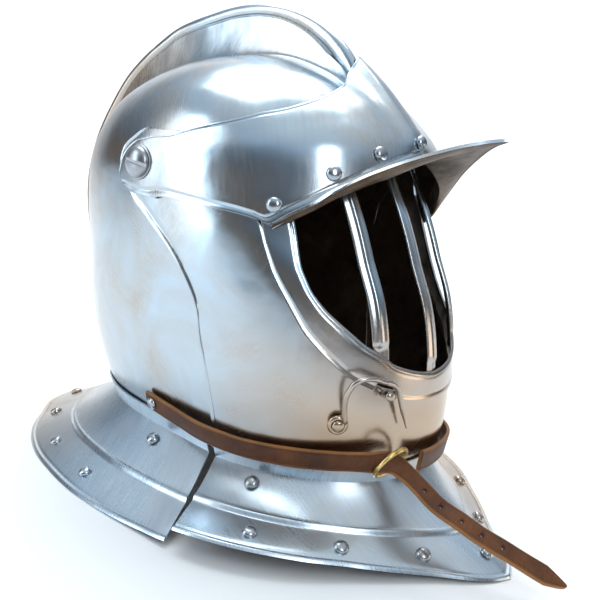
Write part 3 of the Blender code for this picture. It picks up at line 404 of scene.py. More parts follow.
def shade(mesh, smooth):
    """Smooth shading, broken where faces meet at more than so many degrees."""
    mesh.shade_smooth()
    mesh.set_sharp_from_angle(angle=math.radians(smooth))


def new_object(name, verts, faces, mat, layers=None, smooth=35):
    """Closed mesh in the row frame, with extra point layers by name."""
    mesh = bpy.data.meshes.new(name)
    mesh.from_pydata([tuple(v) for v in verts], [], [tuple(f) for f in faces])
    for key, values in (layers or {}).items():
        values = np.asarray(values, np.float32)
        kind = "FLOAT_VECTOR" if values.ndim == 2 else "FLOAT"
        field = "vector" if values.ndim == 2 else "value"
        mesh.attributes.new(key, kind, "POINT").data.foreach_set(field, values.ravel())
    bm = bmesh.new()
    bm.from_mesh(mesh)
    bmesh.ops.remove_doubles(bm, verts=bm.verts, dist=2e-6)
    bmesh.ops.dissolve_degenerate(bm, dist=1e-6, edges=bm.edges)
    bmesh.ops.recalc_face_normals(bm, faces=bm.faces)
    bm.to_mesh(mesh)
    bm.free()
    mesh.materials.append(mat)
    shade(mesh, smooth)
    return add_object(name, mesh)


BOX_FACES = [[0, 1, 3, 2], [4, 6, 7, 5], [0, 4, 5, 1], [2, 3, 7, 6], [0, 2, 6, 4], [1, 5, 7, 3]]


def round_edges(obj, width=EDGE_ROUND, segments=2, angle=45):
    mod = obj.modifiers.new("worn_edges", "BEVEL")
    mod.width = width
    mod.segments = segments
    mod.limit_method = "ANGLE"
    mod.angle_limit = math.radians(angle)


def stand_for(obj, body, slot, *nodes):
    """The piece takes the place of its CAD nodes and moves with their body."""
    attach(obj, body)
    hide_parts(*nodes)


def finish_sheet(obj, body, node, width=EDGE_ROUND, segments=2):
    """Worn edges, then the place of the CAD plate."""
    round_edges(obj, width, segments)
    stand_for(obj, body, "polished_steel", node)


def grid_quads(rows, cols, start, flip=False):
    r, c = np.meshgrid(np.arange(rows - 1), np.arange(cols - 1), indexing="ij")
    a = (start + r * cols + c).ravel()
    quads = np.stack([a, a + cols, a + cols + 1, a + 1], axis=1)
    return (quads[:, ::-1] if flip else quads).tolist()


INNER_MARK = 400.0         # third brush coordinate of a plate's inner face


def plate(name, outer, inner, mat, lining=None):
    """Symmetric sheet-metal piece from the two faces of its right half.

    The lining, where given, is the material of the inner face.
    """
    rows, cols = outer.shape[:2]
    half = np.concatenate([outer.reshape(-1, 3), inner.reshape(-1, 3)])
    count = rows * cols
    faces = grid_quads(rows, cols, 0) + grid_quads(rows, cols, count, True)
    line = [r * cols for r in range(rows)]
    rims = [line, [i + cols - 1 for i in line], list(range(cols)), list(range(count - cols, count))]
    for rim in rims:
        for a, b in zip(rim, rim[1:]):
            if abs(half[a][1]) > 1e-6 or abs(half[b][1]) > 1e-6:
                faces.append([a, b, b + count, a + count])
    across, along = run_along(outer, 1), run_along(outer)
    brush = np.stack([across, along, np.zeros_like(along)], axis=-1).reshape(-1, 3)
    brush = np.concatenate([brush, brush + (0, 0, INNER_MARK)])
    total = 2 * count
    verts = np.concatenate([half, half * (1, -1, 1)])
    faces = faces + [[v + total for v in f[::-1]] for f in faces]
    brush = np.concatenate([brush, brush * (-1, 1, 1)])
    sheet = new_object(name, place(verts), faces, mat, {"brush": brush})
    if lining:
        sheet.data.materials.append(lining)
        depth = np.zeros(len(sheet.data.vertices) * 3, np.float32)
        sheet.data.attributes["brush"].data.foreach_get("vector", depth)
        inside = depth.reshape(-1, 3)[:, 2] > INNER_MARK / 2
        for face in sheet.data.polygons:
            face.material_index = int(all(inside[i] for i in face.vertices))
    return sheet


def tube_faces(count, sides, closed=False):
    """Faces between cross sections in a row, with end caps unless they close into a ring."""
    faces = []
    for i in range(count if closed else count - 1):
        for k in range(sides):
            a, b, after = i * sides, (i + 1) % count * sides, (k + 1) % sides
            faces.append([a + k, a + after, b + after, b + k])
    if not closed:
        faces += [list(range(sides))[::-1], [(count - 1) * sides + k for k in range(sides)]]
    return faces


def sweep(name, centres, frames, sections, mat, layers=None, closed=False, smooth=50):
    """Solid with a cross section carried along a line; frames are (side, out) directions."""
    count, sides = len(centres), sections.shape[1]
    side, out = frames
    verts = centres[:, None] + sections[..., :1] * side[:, None] + sections[..., 1:] * out[:, None]
    faces = tube_faces(count, sides, closed)
    return new_object(name, place(verts.reshape(-1, 3)), faces, mat, layers, smooth)


def round_wire(radii, sides=18):
    """Circular cross sections of the given radii."""
    turn = np.linspace(0, 2 * math.pi, sides, endpoint=False)
    return np.asarray(radii)[:, None, None] * np.stack([np.cos(turn), np.sin(turn)], axis=-1)


def wire_frames(centres):
    """Side and outward directions that turn as little as they can along a line."""
    tang = unit(np.gradient(centres, axis=0))
    side = [np.cross(tang[0], (0.3, 0.5, 0.81))]
    for t in tang:
        side.append(unit(side[-1] - t * np.dot(side[-1], t)))
    side = np.array(side[1:])
    return side, np.cross(tang, side)


def hoop(name, centre, axis, radius, wire, mat):
    """Closed ring of wire; wire holds the wire's radius at each step round."""
    u = unit(np.cross(axis, (0.0, 0.0, 1.0)))
    turn = np.linspace(0, 2 * math.pi, len(wire), endpoint=False)[:, None]
    spoke = np.cos(turn) * u + np.sin(turn) * np.cross(axis, u)
    frames = (spoke, np.broadcast_to(axis, spoke.shape))
    return sweep(name, centre + spoke * radius, frames, round_wire(wire), mat, closed=True)


def turned(name, steps, base, axis, mat, sides=40, smooth=40):
    """Solid of revolution from (height, radius) steps, in row-frame metres."""
    axis = Vector(axis).normalized()
    u = axis.orthogonal().normalized()
    v = axis.cross(u)
    verts = []
    for height, radius in steps:
        for k in range(sides):
            a = 2 * math.pi * k / sides
            spoke = u * math.cos(a) + v * math.sin(a)
            verts.append(Vector(base) + axis * height + spoke * radius)
    return new_object(name, verts, tube_faces(len(steps), sides), mat, smooth=smooth)


def carve(obj, smooth, *cutters):
    """Cut closed pieces out of a mesh for good; smooth, where given, shades it again."""
    for cutter in cutters:
        mod = obj.modifiers.new("carve", "BOOLEAN")
        mod.operation = "DIFFERENCE"
        mod.solver = "EXACT"
        mod.object = cutter
    graph = bpy.context.evaluated_depsgraph_get()
    mesh = bpy.data.meshes.new_from_object(obj.evaluated_get(graph), preserve_all_data_layers=True,
                                           depsgraph=graph)
    obj.modifiers.clear()
    obj.data = mesh
    if smooth:
        shade(mesh, smooth)
    for cutter in cutters:
        bpy.data.objects.remove(cutter, do_unlink=True)


# ---- materials ----
class Surface:
    """Shorthand for the node tree of a material, or of a world handed in."""

    def __init__(self, name, world=None):
        self.mat = world or bpy.data.materials.new(name)
        self.mat.use_nodes = True
        self.tree = self.mat.node_tree
        self.shader = self.tree.nodes["Background" if world else "Principled BSDF"]

    def add(self, kind, inputs=None, **settings):
        node = self.tree.nodes.new(kind)
        for key, value in settings.items():
            setattr(node, key, value)
        self.feed(node, inputs or {})
        return node

    def feed(self, node, inputs):
        for key, value in inputs.items():
            if isinstance(value, bpy.types.NodeSocket):
                self.tree.links.new(value, node.inputs[key])
            else:
                node.inputs[key].default_value = value

    def where(self):
        return self.add("ShaderNodeTexCoord").outputs["Object"]

    def layer(self, name):
        return self.add("ShaderNodeAttribute", attribute_name=name).outputs

    def stretched(self, vector, scale):
        return self.add("ShaderNodeMapping", {"Vector": vector, "Scale": scale}).outputs[0]

    def noise(self, vector, scale, detail=3.0, rough=0.5, warp=0.0):
        node = self.add("ShaderNodeTexNoise", {"Vector": vector, "Scale": scale, "Detail": detail,
                                               "Roughness": rough, "Distortion": warp})
        return node.outputs["Fac"]

    def ramp(self, value, stops):
        node = self.add("ShaderNodeValToRGB", {"Fac": value})
        points = node.color_ramp.elements
        while len(points) < len(stops):
            points.new(0.5)
        for point, (at, colour) in zip(points, stops):
            point.position = at
            point.color = (*colour, 1) if len(colour) == 3 else colour
        return node.outputs["Color"]

    def scaled(self, value, lo, hi, out_lo=0.0, out_hi=1.0):
        node = self.add("ShaderNodeMapRange", {"Value": value, "From Min": lo, "From Max": hi,
                                               "To Min": out_lo, "To Max": out_hi})
        return node.outputs["Result"]

    def maths(self, operation, a, b):
        node = self.add("ShaderNodeMath", operation=operation)
        self.feed(node, {0: a, 1: b})
        return node.outputs[0]

    def blend(self, share, a, b, mode="MIX"):
        node = self.add("ShaderNodeMix", data_type="RGBA", blend_type=mode)
        self.feed(node, {0: share, 6: a, 7: b})
        return node.outputs[2]

    def bump(self, height, distance, strength=1.0, below=None):
        inputs = {"Height": height, "Distance": distance, "Strength": strength}
        if below is not None:
            inputs["Normal"] = below
        return self.add("ShaderNodeBump", inputs).outputs["Normal"]

    def finish(self, **inputs):
        self.feed(self.shader, {key.replace("_", " "): value for key, value in inputs.items()})
        return self.mat


def painted_warm_reflection(s, where, cloud):
    """Share of the painted warm reflection: tan mixed into the steel low on the face, round the back and on the
    far side, standing in for a warm room reflected in the plates.
    """
    x, y, z = s.add("ShaderNodeSeparateXYZ", {"Vector": where}).outputs
    low = s.maths("MULTIPLY", s.scaled(z, 0.165, 0.075), s.scaled(z, 0.045, 0.062))
    front = s.maths("MULTIPLY", low, s.scaled(y, -0.01, -0.09))
    back = s.scaled(y, 0.10, 0.20, 0.0, 0.75)
    far = s.maths("MULTIPLY", s.scaled(x, 0.0, 0.06, 0.0, 0.8), s.scaled(z, 0.06, 0.04))
    share = s.maths("MAXIMUM", s.maths("MAXIMUM", front, back), far)
    return s.maths("MULTIPLY", share, s.scaled(cloud, 0.3, 0.7, 0.65, 1.0))


def steel_surface(name, cool, warm, rough, brushed=True, waves=1.0, streaks=1.0):
    """Hand-polished sheet: soft hammer waves, polishing streaks, smudges and fine scratches, and a painted warm
    reflection low on the face and round the back.

    Colours are linear; waves and streaks scale the hammer marks and the polishing marks.
    """
    s = Surface(name)
    where = s.where()
    wave = s.noise(where, 34, 1.5, 0.4)
    ripple = s.noise(where, 95, 2.0, 0.5)
    smudge = s.noise(where, 16, 5, 0.6, 0.6)
    if brushed:
        grain = s.layer("brush")["Vector"]
        streak = s.noise(s.stretched(grain, (0.9, 0.035, 1)), 1.0, 4, 0.6)
        fine = s.noise(s.stretched(grain, (5.0, 0.09, 1)), 1.0, 3, 0.6)
        cross = s.noise(s.stretched(grain, (0.05, 2.8, 1)), 1.0, 3, 0.7, 0.8)
    else:
        streak = s.noise(s.stretched(where, (120, 700, 120)), 1.0, 4, 0.6)
        fine = s.noise(s.stretched(where, (900, 160, 900)), 1.0, 3, 0.6)
        cross = s.noise(where, 400, 3, 0.7)
    scratch = s.ramp(cross, [(0.0, (0, 0, 0)), (0.70, (0, 0, 0)), (0.76, (1, 1, 1))])
    tone = s.ramp(smudge, [(0.30, warm), (0.62, cool)])
    tone = s.blend(s.scaled(streak, 0.35, 0.75, 0.0, 0.16 * streaks), tone, (0.72, 0.77, 0.81, 1))
    # painted warm reflection: tan mixed into the colour low on the face, round the back and on the far side
    tone = s.blend(painted_warm_reflection(s, where, smudge), tone, REFLECTED_TAN)
    gloss = s.maths("ADD", s.scaled(streak, 0.3, 0.7, rough - 0.02, rough + 0.03),
                    s.scaled(smudge, 0.35, 0.7, 0.07, -0.02))
    gloss = s.maths("ADD", gloss, s.scaled(fine, 0.3, 0.7, -0.01, 0.02))
    normal = s.bump(wave, 0.00060 * waves)
    normal = s.bump(ripple, 0.00006 * waves, below=normal)
    normal = s.bump(streak, 0.0000035 * streaks, below=normal)
    normal = s.bump(fine, 0.0000009 * streaks, below=normal)
    normal = s.bump(scratch, 0.000006, 0.6, below=normal)
    return s.finish(Base_Color=tone, Metallic=1.0, Roughness=gloss, Normal=normal)


def dark_inside():
    """The unpolished inner face: brown-black scale left by the forge, rubbed bright in places."""
    s = Surface("forge_scale")
    where = s.where()
    cloud = s.noise(where, 22, 5, 0.65, 0.5)
    dents = s.noise(where, 60, 2, 0.5)
    tone = s.ramp(cloud, [(0.30, (0.050, 0.034, 0.024)), (0.55, (0.135, 0.090, 0.058)),
                          (0.80, (0.30, 0.225, 0.16))])
    normal = s.bump(dents, 0.0012)
    normal = s.bump(s.noise(where, 420, 4, 0.6), 0.00006, below=normal)
    gloss = s.scaled(cloud, 0.3, 0.8, 0.52, 0.33)
    return s.finish(Base_Color=tone, Metallic=0.85, Roughness=gloss, Normal=normal)


def leather_surface():
    """Oiled strap leather: pores, creases across, pale cut edges."""
    s = Surface("strap_leather")
    where = s.where()
    grain = s.layer("strap")["Vector"]
    edge = s.layer("edge")["Fac"]
    cloud = s.noise(where, 30, 4, 0.6)
    pores = s.add("ShaderNodeTexVoronoi", {"Vector": where, "Scale": 1100.0}).outputs["Distance"]
    crease = s.noise(s.stretched(grain, (0.08, 0.9, 1)), 1.0, 4, 0.65, 0.5)
    tone = s.ramp(cloud, [(0.28, (0.042, 0.013, 0.004)), (0.52, (0.105, 0.033, 0.008)),
                          (0.78, (0.185, 0.062, 0.016))])
    tone = s.blend(s.scaled(crease, 0.45, 0.75, 0.0, 0.45), tone, (0.030, 0.011, 0.005, 1))
    worn = s.maths("MULTIPLY", edge, s.scaled(cloud, 0.3, 0.7, 0.55, 1.0))
    tone = s.blend(worn, tone, (0.34, 0.145, 0.040, 1))
    normal = s.bump(pores, 0.00016, 0.7)
    normal = s.bump(crease, 0.0004, 0.6, below=normal)
    gloss = s.scaled(cloud, 0.3, 0.75, 0.44, 0.62)
    s.shader.inputs["Specular IOR Level"].default_value = 0.32
    return s.finish(Base_Color=tone, Roughness=gloss, Normal=normal)


def brass_surface():
    """Cast brass, dull in its hollows."""
    s = Surface("cast_brass")
    where = s.where()
    cloud = s.noise(where, 120, 4, 0.6)
    grit = s.noise(where, 1500, 3, 0.6)
    tone = s.ramp(cloud, [(0.3, (0.27, 0.16, 0.045)), (0.5, (0.62, 0.43, 0.15)),
                          (0.72, (0.86, 0.66, 0.30))])
    return s.finish(Base_Color=tone, Metallic=1.0, Roughness=s.scaled(cloud, 0.3, 0.7, 0.42, 0.22),
                    Normal=s.bump(grit, 0.00005, 0.7))


def linen_surface():
    """Undyed plain-weave linen."""
    s = Surface("quilted_linen")
    grain = s.layer("brush")["Vector"]
    thread = {"Vector": grain, "Scale": 0.42, "Distortion": 0.6, "Detail": 2.0}
    weave = [s.add("ShaderNodeTexWave", thread, bands_direction=axis) for axis in "XY"]
    cloth = s.maths("MAXIMUM", *(node.outputs["Fac"] for node in weave))
    cloud = s.noise(s.where(), 45, 4, 0.6)
    tone = s.ramp(cloud, [(0.3, (0.27, 0.215, 0.15)), (0.7, (0.47, 0.40, 0.29))])
    tone = s.blend(s.scaled(cloth, 0.2, 0.9, 0.35, 0.0), tone, (0.14, 0.105, 0.07, 1))
    s.shader.inputs["Sheen Weight"].default_value = 0.25
    return s.finish(Base_Color=tone, Roughness=s.scaled(cloth, 0.0, 1.0, 0.95, 0.8),
                    Normal=s.bump(cloth, 0.0002, 0.8))


# tan of the painted warm reflection on the steel
REFLECTED_TAN = (0.46, 0.31, 0.185, 1)
PLATE = steel_surface("polished_plate", (0.47, 0.575, 0.66), (0.45, 0.42, 0.39), 0.20)
INSIDE = dark_inside()
TRIM = steel_surface("polished_trim", (0.44, 0.50, 0.56), (0.32, 0.31, 0.30), 0.22, False, 0.25)
SCREW = steel_surface("turned_screw", (0.40, 0.43, 0.47), (0.28, 0.27, 0.26), 0.28, False, 0.2)
COLLAR = steel_surface("brushed_collar", (0.53, 0.64, 0.73), (0.49, 0.53, 0.57), 0.25, streaks=3.0)
LEATHER = leather_surface()
BRASS = brass_surface()
LINEN = linen_surface()


# ---- skull ----
def comb_section(height, beta):
    """Half thickness and height steps from the comb's foot up to its rolled crest.

    The border below the crest is wider towards the brow.
    """
    share = min(height / 10.0, 1.0)
    roll = min(height, 22.0) / 22.0 * (1.0 + 0.55 * float(1 - ease(beta, 45, 85)))
    wall = [(COMB_FOOT, 0.0), (6.1, 0.045), (4.7, 0.14), (3.9, 0.30), (3.5, 0.50)]
    border = [(3.3, 10.5), (3.25, 8.6), (2.55, 7.7), (3.4, 6.8), (4.15, 5.0), (4.3, 3.0), (3.7, 1.3),
              (2.1, 0.3), (0.0, 0.0)]
    tall = [(n, up * height) for n, up in wall] + [(n, height - down * roll) for n, down in border]
    curve = spline(tall, 0, [3] * (len(tall) - 1))
    flat = np.linspace(COMB_FOOT, 0, len(curve))
    return curve[:, 0] * share + flat * (1 - share), curve[:, 1] * share, flat


def build_skull():
    columns = 34 * FINE + 12
    betas = np.linspace(*COMB_ENDS, columns)
    edge = [chart_of(f, z, SKULL) for f, z in SKULL_EDGE]
    first, last = (chart_at(b, COMB_FOOT, SKULL) for b in (COMB_ENDS[0], COMB_ENDS[1] - 360))
    edge = [first] + edge + [last]
    border = spline(edge, columns)
    foot = np.array([chart_at(b, COMB_FOOT, SKULL) for b in betas])
    shares = np.linspace(0, 1, 34)[:-1, None, None]
    chart = border[None] + (foot - border)[None] * shares
    faces = [shell(chart, SKULL), shell(chart, SKULL - SHEET)]
    crests = [[], []]
    for beta in betas:
        crest = smooth_table(COMB, beta)
        n, up, flat = comb_section(max(crest - float(radius_at(beta)), 0.0), beta)
        power = float(power_at(beta))
        base = float(radius_at(beta)) * (1 - (n / HALF_WIDTH) ** SIDE_POWER) ** (1 / power)
        crests[0].append(polar(beta, base + up, n))
        shrink = (1 - (flat / (HALF_WIDTH - SHEET)) ** SIDE_POWER) ** (1 / power)
        crests[1].append(polar(beta, float(radius_at(beta, -SHEET)) * shrink, flat))
    outer, inner = (np.concatenate([face, np.array(crest).transpose(1, 0, 2)])
                    for face, crest in zip(faces, crests))
    outer[-1, :, 1] = inner[-1, :, 1] = 0.0
    skull = plate("skull_plate", outer, inner, PLATE, INSIDE)
    finish_sheet(skull, "skull", "skull")


# ---- bevor, visor and brow ----
def band(name, first, last, grow, rows, **shape):
    """Polished plate between two rows of chart places."""
    return plate(name, *strip(first, last, grow, rows, **shape), PLATE, INSIDE)


def bevor_relief(from_rear, *_):
    """The rear edge is lifted a little and has a chased line inside it."""
    return 0.30 * hump(from_rear, 0.4, 2.0) - 0.60 * hump(from_rear, 3.2, 1.2)


def build_bevor():
    low = outline(BEVOR_LOW, BEVOR, -45.5, 30 * FINE)
    high = outline(BEVOR_TOP, BEVOR, -33.7, 30 * FINE)
    bevor = band("bevor_plate", low, high, BEVOR, 34, relief=bevor_relief)
    finish_sheet(bevor, "bevor", "bevor")


def opening_relief(from_opening, from_edge, chart):
    """A rolled bead round the face opening, fading under the brow plate."""
    beta = np.degrees(np.arctan2(chart[..., 1], chart[..., 0]))
    free = ease(-beta, 4.0, 14.0)
    bead = (0.95 * hump(from_opening, 1.3, 1.7) - 0.30 * hump(from_opening, 3.5, 0.9)) * free
    return bead + 0.45 * hump(from_edge, 0.4, 2.0) - 0.40 * hump(from_edge, 2.9, 1.0)


def build_visor():
    ends = [(medial(8.0), medial(14.0))]
    ends += [(chart_of(*a, VISOR), chart_of(*b, VISOR)) for a, b in VISOR_PAIRS]
    ends.append((medial(-31.4), medial(-34.7)))
    repeat = [3 * FINE, 2 * FINE, 2 * FINE] + [FINE] * (len(VISOR_PAIRS) - 3) + [5 * FINE]
    opening = spline([e[0] for e in ends], 0, repeat)
    outside = spline([e[1] for e in ends], 0, repeat)
    visor = band("visor_sheet", opening, outside, VISOR, 30, relief=opening_relief)
    carve(visor, 35, *notch_cutters())
    finish_sheet(visor, "visor", "visor_plate")


def notch_cutters():
    """The round-ended notch in the visor's rim that lets it pass the keeper."""
    half = 8.5
    out = unit(KEEPER_OUT)
    down = np.array([0.0, 0.0, -1.0])
    down = unit(down - out * np.dot(down, out))
    side = np.cross(out, down)
    box = [KEEPER_FOOT + out * a + down * b + side * c
           for a in (-15, 15) for b in (0, 26) for c in (-half, half)]
    drum = turned("notch_round", [(-0.016, half * MM), (0.014, half * MM)], place(KEEPER_FOOT),
                  heading(KEEPER_FOOT, out), TRIM)
    return [drum, new_object("notch_slot", place(box), BOX_FACES, TRIM)]


def brow_relief(from_low, from_top, _):
    """A raised lower edge with a chased line inside it, and a fainter line along the top."""
    low = 0.35 * hump(from_low, 0.4, 2.0) - 0.40 * hump(from_low, 3.0, 1.0)
    return low - 0.25 * hump(from_top, 2.6, 0.9)


def build_brow():
    low = outline(BROW_LOW, BROW, 10.0, 30 * FINE, True)
    high = outline(BROW_TOP, BROW, 44.0, 30 * FINE, True)
    # the last columns crowd towards the keel
    keel = np.linspace(0, 1, 14)[1:, None]
    low, high = (np.concatenate([row[:-4], between(row[-4], row[-1], keel)]) for row in (low, high))
    brow = band("brow_sheet", low, high, BROW, 40, brow=True, lift=keel_lift, relief=brow_relief)
    finish_sheet(brow, "brow", "brow_plate")


def build_peak():
    columns = 22 * FINE + 10
    under = BROW - SHEET - PEAK_TUCK
    low = outline([(38.5, 194)] + BROW_LOW[11:], under, 10.0, columns, True)
    high = outline(PEAK_FLANGE, under, 14.0, columns, True)
    edge = spline(PEAK_EDGE, columns)
    rows = [shell(between(high, low, t), under, True) for t in np.linspace(0, 1, 6)]
    root = rows[-1]
    start = root - (0, 0, PEAK_DROP) + (edge - root) * 0.06
    rows += [root * (1 - t) + start * t for t in (0.35, 0.7)]
    inner_rows = len(rows)
    reach = np.r_[np.linspace(0, 0.92, 22), 0.94, 0.955, 0.97, 0.98, 0.99, 1.0]
    for t in reach:
        rows.append(start + (edge - start) * t + (0, 0, -1.2 * math.sin(math.pi * t)))
    top = np.array(rows)
    top[:, -1, 1] = 0.0
    # the free edge is rolled over a wire
    run = np.linalg.norm(edge - start, axis=1)[None, :]
    share = np.r_[np.zeros(inner_rows), reach]
    to_edge = (1 - share[:, None]) * run
    roll = 0.75 * hump(to_edge, 1.0, 2.0) * ease(run, 3.0, 12.0)
    n = normals_of(top, (60.0, 0.0, 120.0))
    outer = top + n * (roll - 0.15 * hump(to_edge, 3.6, 0.9))[..., None]
    inner = top - n * (SHEET + roll)[..., None]
    inner[:, -1, 1] = outer[:, -1, 1] = 0.0
    peak = plate("peak_sheet", outer, inner, PLATE, INSIDE)
    finish_sheet(peak, "brow", "peak", 0.0005, 3)


def build_bar(name, n, foot, node):
    """Bar with rounded edges and a raised spine; both ends tuck in behind the visor plate."""
    top, tang = 9.6, 1.1       # angle of the upper end, thickness of the flattened ends
    marks = np.array([top, 7.4, 5.6, foot + 3.4, foot + 2.2, foot])
    level = np.array([0.0, 0.0, 1.0, 1.0, 0.0, 0.0])
    betas = np.linspace(top, foot, 90)
    free = ease(np.interp(-betas, -marks, level), 0.0, 1.0)
    front = (VISOR - SHEET - tang) * (1 - free) + (VISOR + 0.8) * free
    depth = tang * (1 - free) + BAR_DEPTH * free
    charts = np.array([chart_at(b, n, VISOR) for b in betas])
    base, deep = shell(charts, front), shell(charts, front - depth)
    for p in (base, deep):
        p[:, 1] = np.copysign(p[:, 1], n)
    out = unit(base - deep)
    side = unit(np.cross((0.35, 0.0, -0.94), out))
    half = BAR_WIDTH / 2
    # across, and depth behind the spine as a share of the bar's depth
    section = [(-0.90, 1.0), (-0.98, 0.96), (-1.0, 0.88), (-1.0, 0.62), (-0.96, 0.50), (-0.86, 0.43),
               (-0.66, 0.36), (-0.42, 0.30), (-0.27, 0.24), (-0.16, 0.08), (0.0, 0.0)]
    section += [(-a, d) for a, d in section[-2::-1]]
    ring = np.array(section)
    sections = np.stack([np.broadcast_to(ring[:, 0] * half, (len(betas), len(ring))),
                         -ring[:, 1] * depth[:, None]], axis=-1)
    run = run_along(base)[:, None]
    brush = np.stack(np.broadcast_arrays(ring[:, 0] * half, run, foot), axis=-1).reshape(-1, 3)
    bar = sweep(name, base, (side, out), sections, PLATE, {"brush": brush})
    stand_for(bar, "visor", "polished_steel", node)


# ---- gorget ----
def ring_point(alpha, z, grow):
    """Point on a shell at height z, in plan direction alpha from forward."""
    a = math.radians(alpha)
    lo, hi = 10.0, 260.0
    for _ in range(30):
        r = (lo + hi) / 2
        outside = section_value(r * math.cos(a), r * math.sin(a), z, grow) > 1
        lo, hi = (lo, r) if outside else (r, hi)
    return np.array([r * math.cos(a), max(r * math.sin(a), 0.0), z])


def build_gorget(name, node, rim, top_a, top_z, grow, body):
    """Collar on the neck, a flare with an embossed step, and a rolled rim."""
    columns = 20 * FINE + 20
    turn = np.linspace(0, 1, columns)
    angles = top_a[0] + (top_a[1] - top_a[0]) * turn
    heights = top_z[0] + (top_z[1] - top_z[0]) * turn
    rim_angles = rim[0][0] + (rim[-1][0] - rim[0][0]) * turn
    reach = np.array([smooth_table(rim, a) for a in rim_angles])
    level = np.array([smooth_table(rim, a, column=2) for a in rim_angles])
    turned_by = np.radians(rim_angles)
    tip = np.stack([reach * np.cos(turned_by), reach * np.sin(turned_by), level], axis=-1)
    collar = [np.array([ring_point(a, z + up, grow) for a, z in zip(angles, heights)])
              for up in (11, 8.5, 6, 3.5, 1.6)]
    foot = np.array([ring_point(a, z, grow) for a, z in zip(angles, heights)])
    # rows crowd round the embossed step and the rolled rim
    shares = np.unique(np.r_[np.linspace(0.03, 0.46, 12), np.linspace(0.46, 0.60, 15),
                             np.linspace(0.60, 0.9, 8), np.linspace(0.9, 1.0, 14)])
    run = np.linalg.norm(tip - foot, axis=1)
    rows = collar + [foot]
    for share in shares:
        sag = -6.0 * math.sin(math.pi * share) * (1 - share)
        step = 3.1 * (1 - share) * ease(share, 0.505, 0.535) - 0.7 * hump(share, 0.492, 0.028)
        to_rim = (1 - share) * run
        bead = 1.35 * hump(to_rim, 1.7, 2.3) - 0.35 * hump(to_rim, 5.0, 1.3) * (share > 0.8)
        row = foot + (tip - foot) * share
        row[:, 2] += sag - step + bead
        rows.append(row)
    grid = np.array(rows)
    end = 0 if top_a[0] == 0 else -1
    grid[:, end, 1] = 0.0
    low = grid - normals_of(grid, (-30.0, 0.0, -80.0)) * SHEET
    low[:, end, 1] = 0.0
    low[..., 2] = np.maximum(low[..., 2], 0.0)
    collar = plate(name, grid, low, COLLAR, INSIDE)
    finish_sheet(collar, body, node)


# ---- rivets, screws, hook ----
def seat_of(node):
    """A CAD rivet's seat and size: centre, outward direction, radius and height, in metres."""
    mesh = frame["nodes"][node].data
    groups = {}
    for face in mesh.polygons:
        key = tuple(round(v, 2) for v in face.normal)
        groups.setdefault(key, []).append(face)
    flat = max(groups.values(), key=lambda faces: sum(f.area for f in faces))
    ids = sorted({i for f in flat for i in f.vertices})
    centre = sum((mesh.vertices[i].co for i in ids), Vector()) / len(ids)
    radius = max((mesh.vertices[i].co - centre).length for i in ids)
    out = -flat[0].normal
    height = max((v.co - centre).dot(out) for v in mesh.vertices)
    return centre, out, radius, height


def build_rivets(bodies):
    """A domed head, set by hand, on the seat of every CAD rivet."""
    for body, names in bodies.items():
        for order, node in enumerate(n for n in sorted(names) if "rivet" in n):
            centre, out, radius, height = seat_of(node)
            u = out.orthogonal().normalized()
            # no head is quite square to its plate
            lean = 0.05 * math.sin(2.1 * order + 1.0)
            axis = (out + u * lean).normalized()
            crown = height + GAP * MM
            steps = [(0.0, radius * 0.93), (crown * 0.10, radius)]
            for k in range(9):
                a = math.pi / 2 * k / 9
                steps.append((crown * (0.22 + 0.78 * math.sin(a)),
                              radius * 0.985 * math.cos(a) ** 0.85))
            piece = turned(node + "_head", steps, centre - out * GAP * MM, axis, TRIM, 32, 60)
            stand_for(piece, body, "polished_steel", node)


def build_screw(name, side):
    """Slotted dome-headed screw through the temple, standing on a thin turned collar."""
    shank, slot_half, slot_turn = 0.0036, 0.0013, math.radians(9)
    face = (HALF_WIDTH + BROW) * MM
    base = Vector(place((PIVOT_F, 0, PIVOT_Z)))
    head = [(0.072, 0.0030), (0.0725, shank), (face, shank)]
    rim = [(0.0, 0.0108), (0.5, 0.0111), (0.9, 0.0109), (1.1, 0.0100), (1.0, 0.0092), (1.3, 0.0091)]
    head += [(face + up * MM, radius) for up, radius in rim]
    for k in range(11):
        a = math.pi / 2 * k / 11
        head.append((face + 0.0014 + 0.0048 * math.sin(a), 0.0099 * math.cos(a) ** 0.8))
    screw = turned(name + "_domed", head, base, (-side, 0, 0), SCREW, 64, 50)
    c, s = math.cos(slot_turn), math.sin(slot_turn)
    box = [Vector((-side * (face + x), base.y + c * a - s * b, base.z + s * a + c * b))
           for x in (0.0026, 0.012) for a in (-0.014, 0.014) for b in (-slot_half, slot_half)]
    carve(screw, 40, new_object("slot", box, BOX_FACES, SCREW))
    round_edges(screw, 0.0002, 2, 40)
    stand_for(screw, "skull", "dark_steel", name)


def build_stud(name, node, foot, out, steps):
    """Turned stud on the bevor from (height, radius) steps in millimetres."""
    steps = [(h * MM, r * MM) for h, r in steps]
    stud = turned(name, steps, place(foot), heading(foot, unit(out)), TRIM, 32, 50)
    stand_for(stud, "bevor", "polished_steel", node)


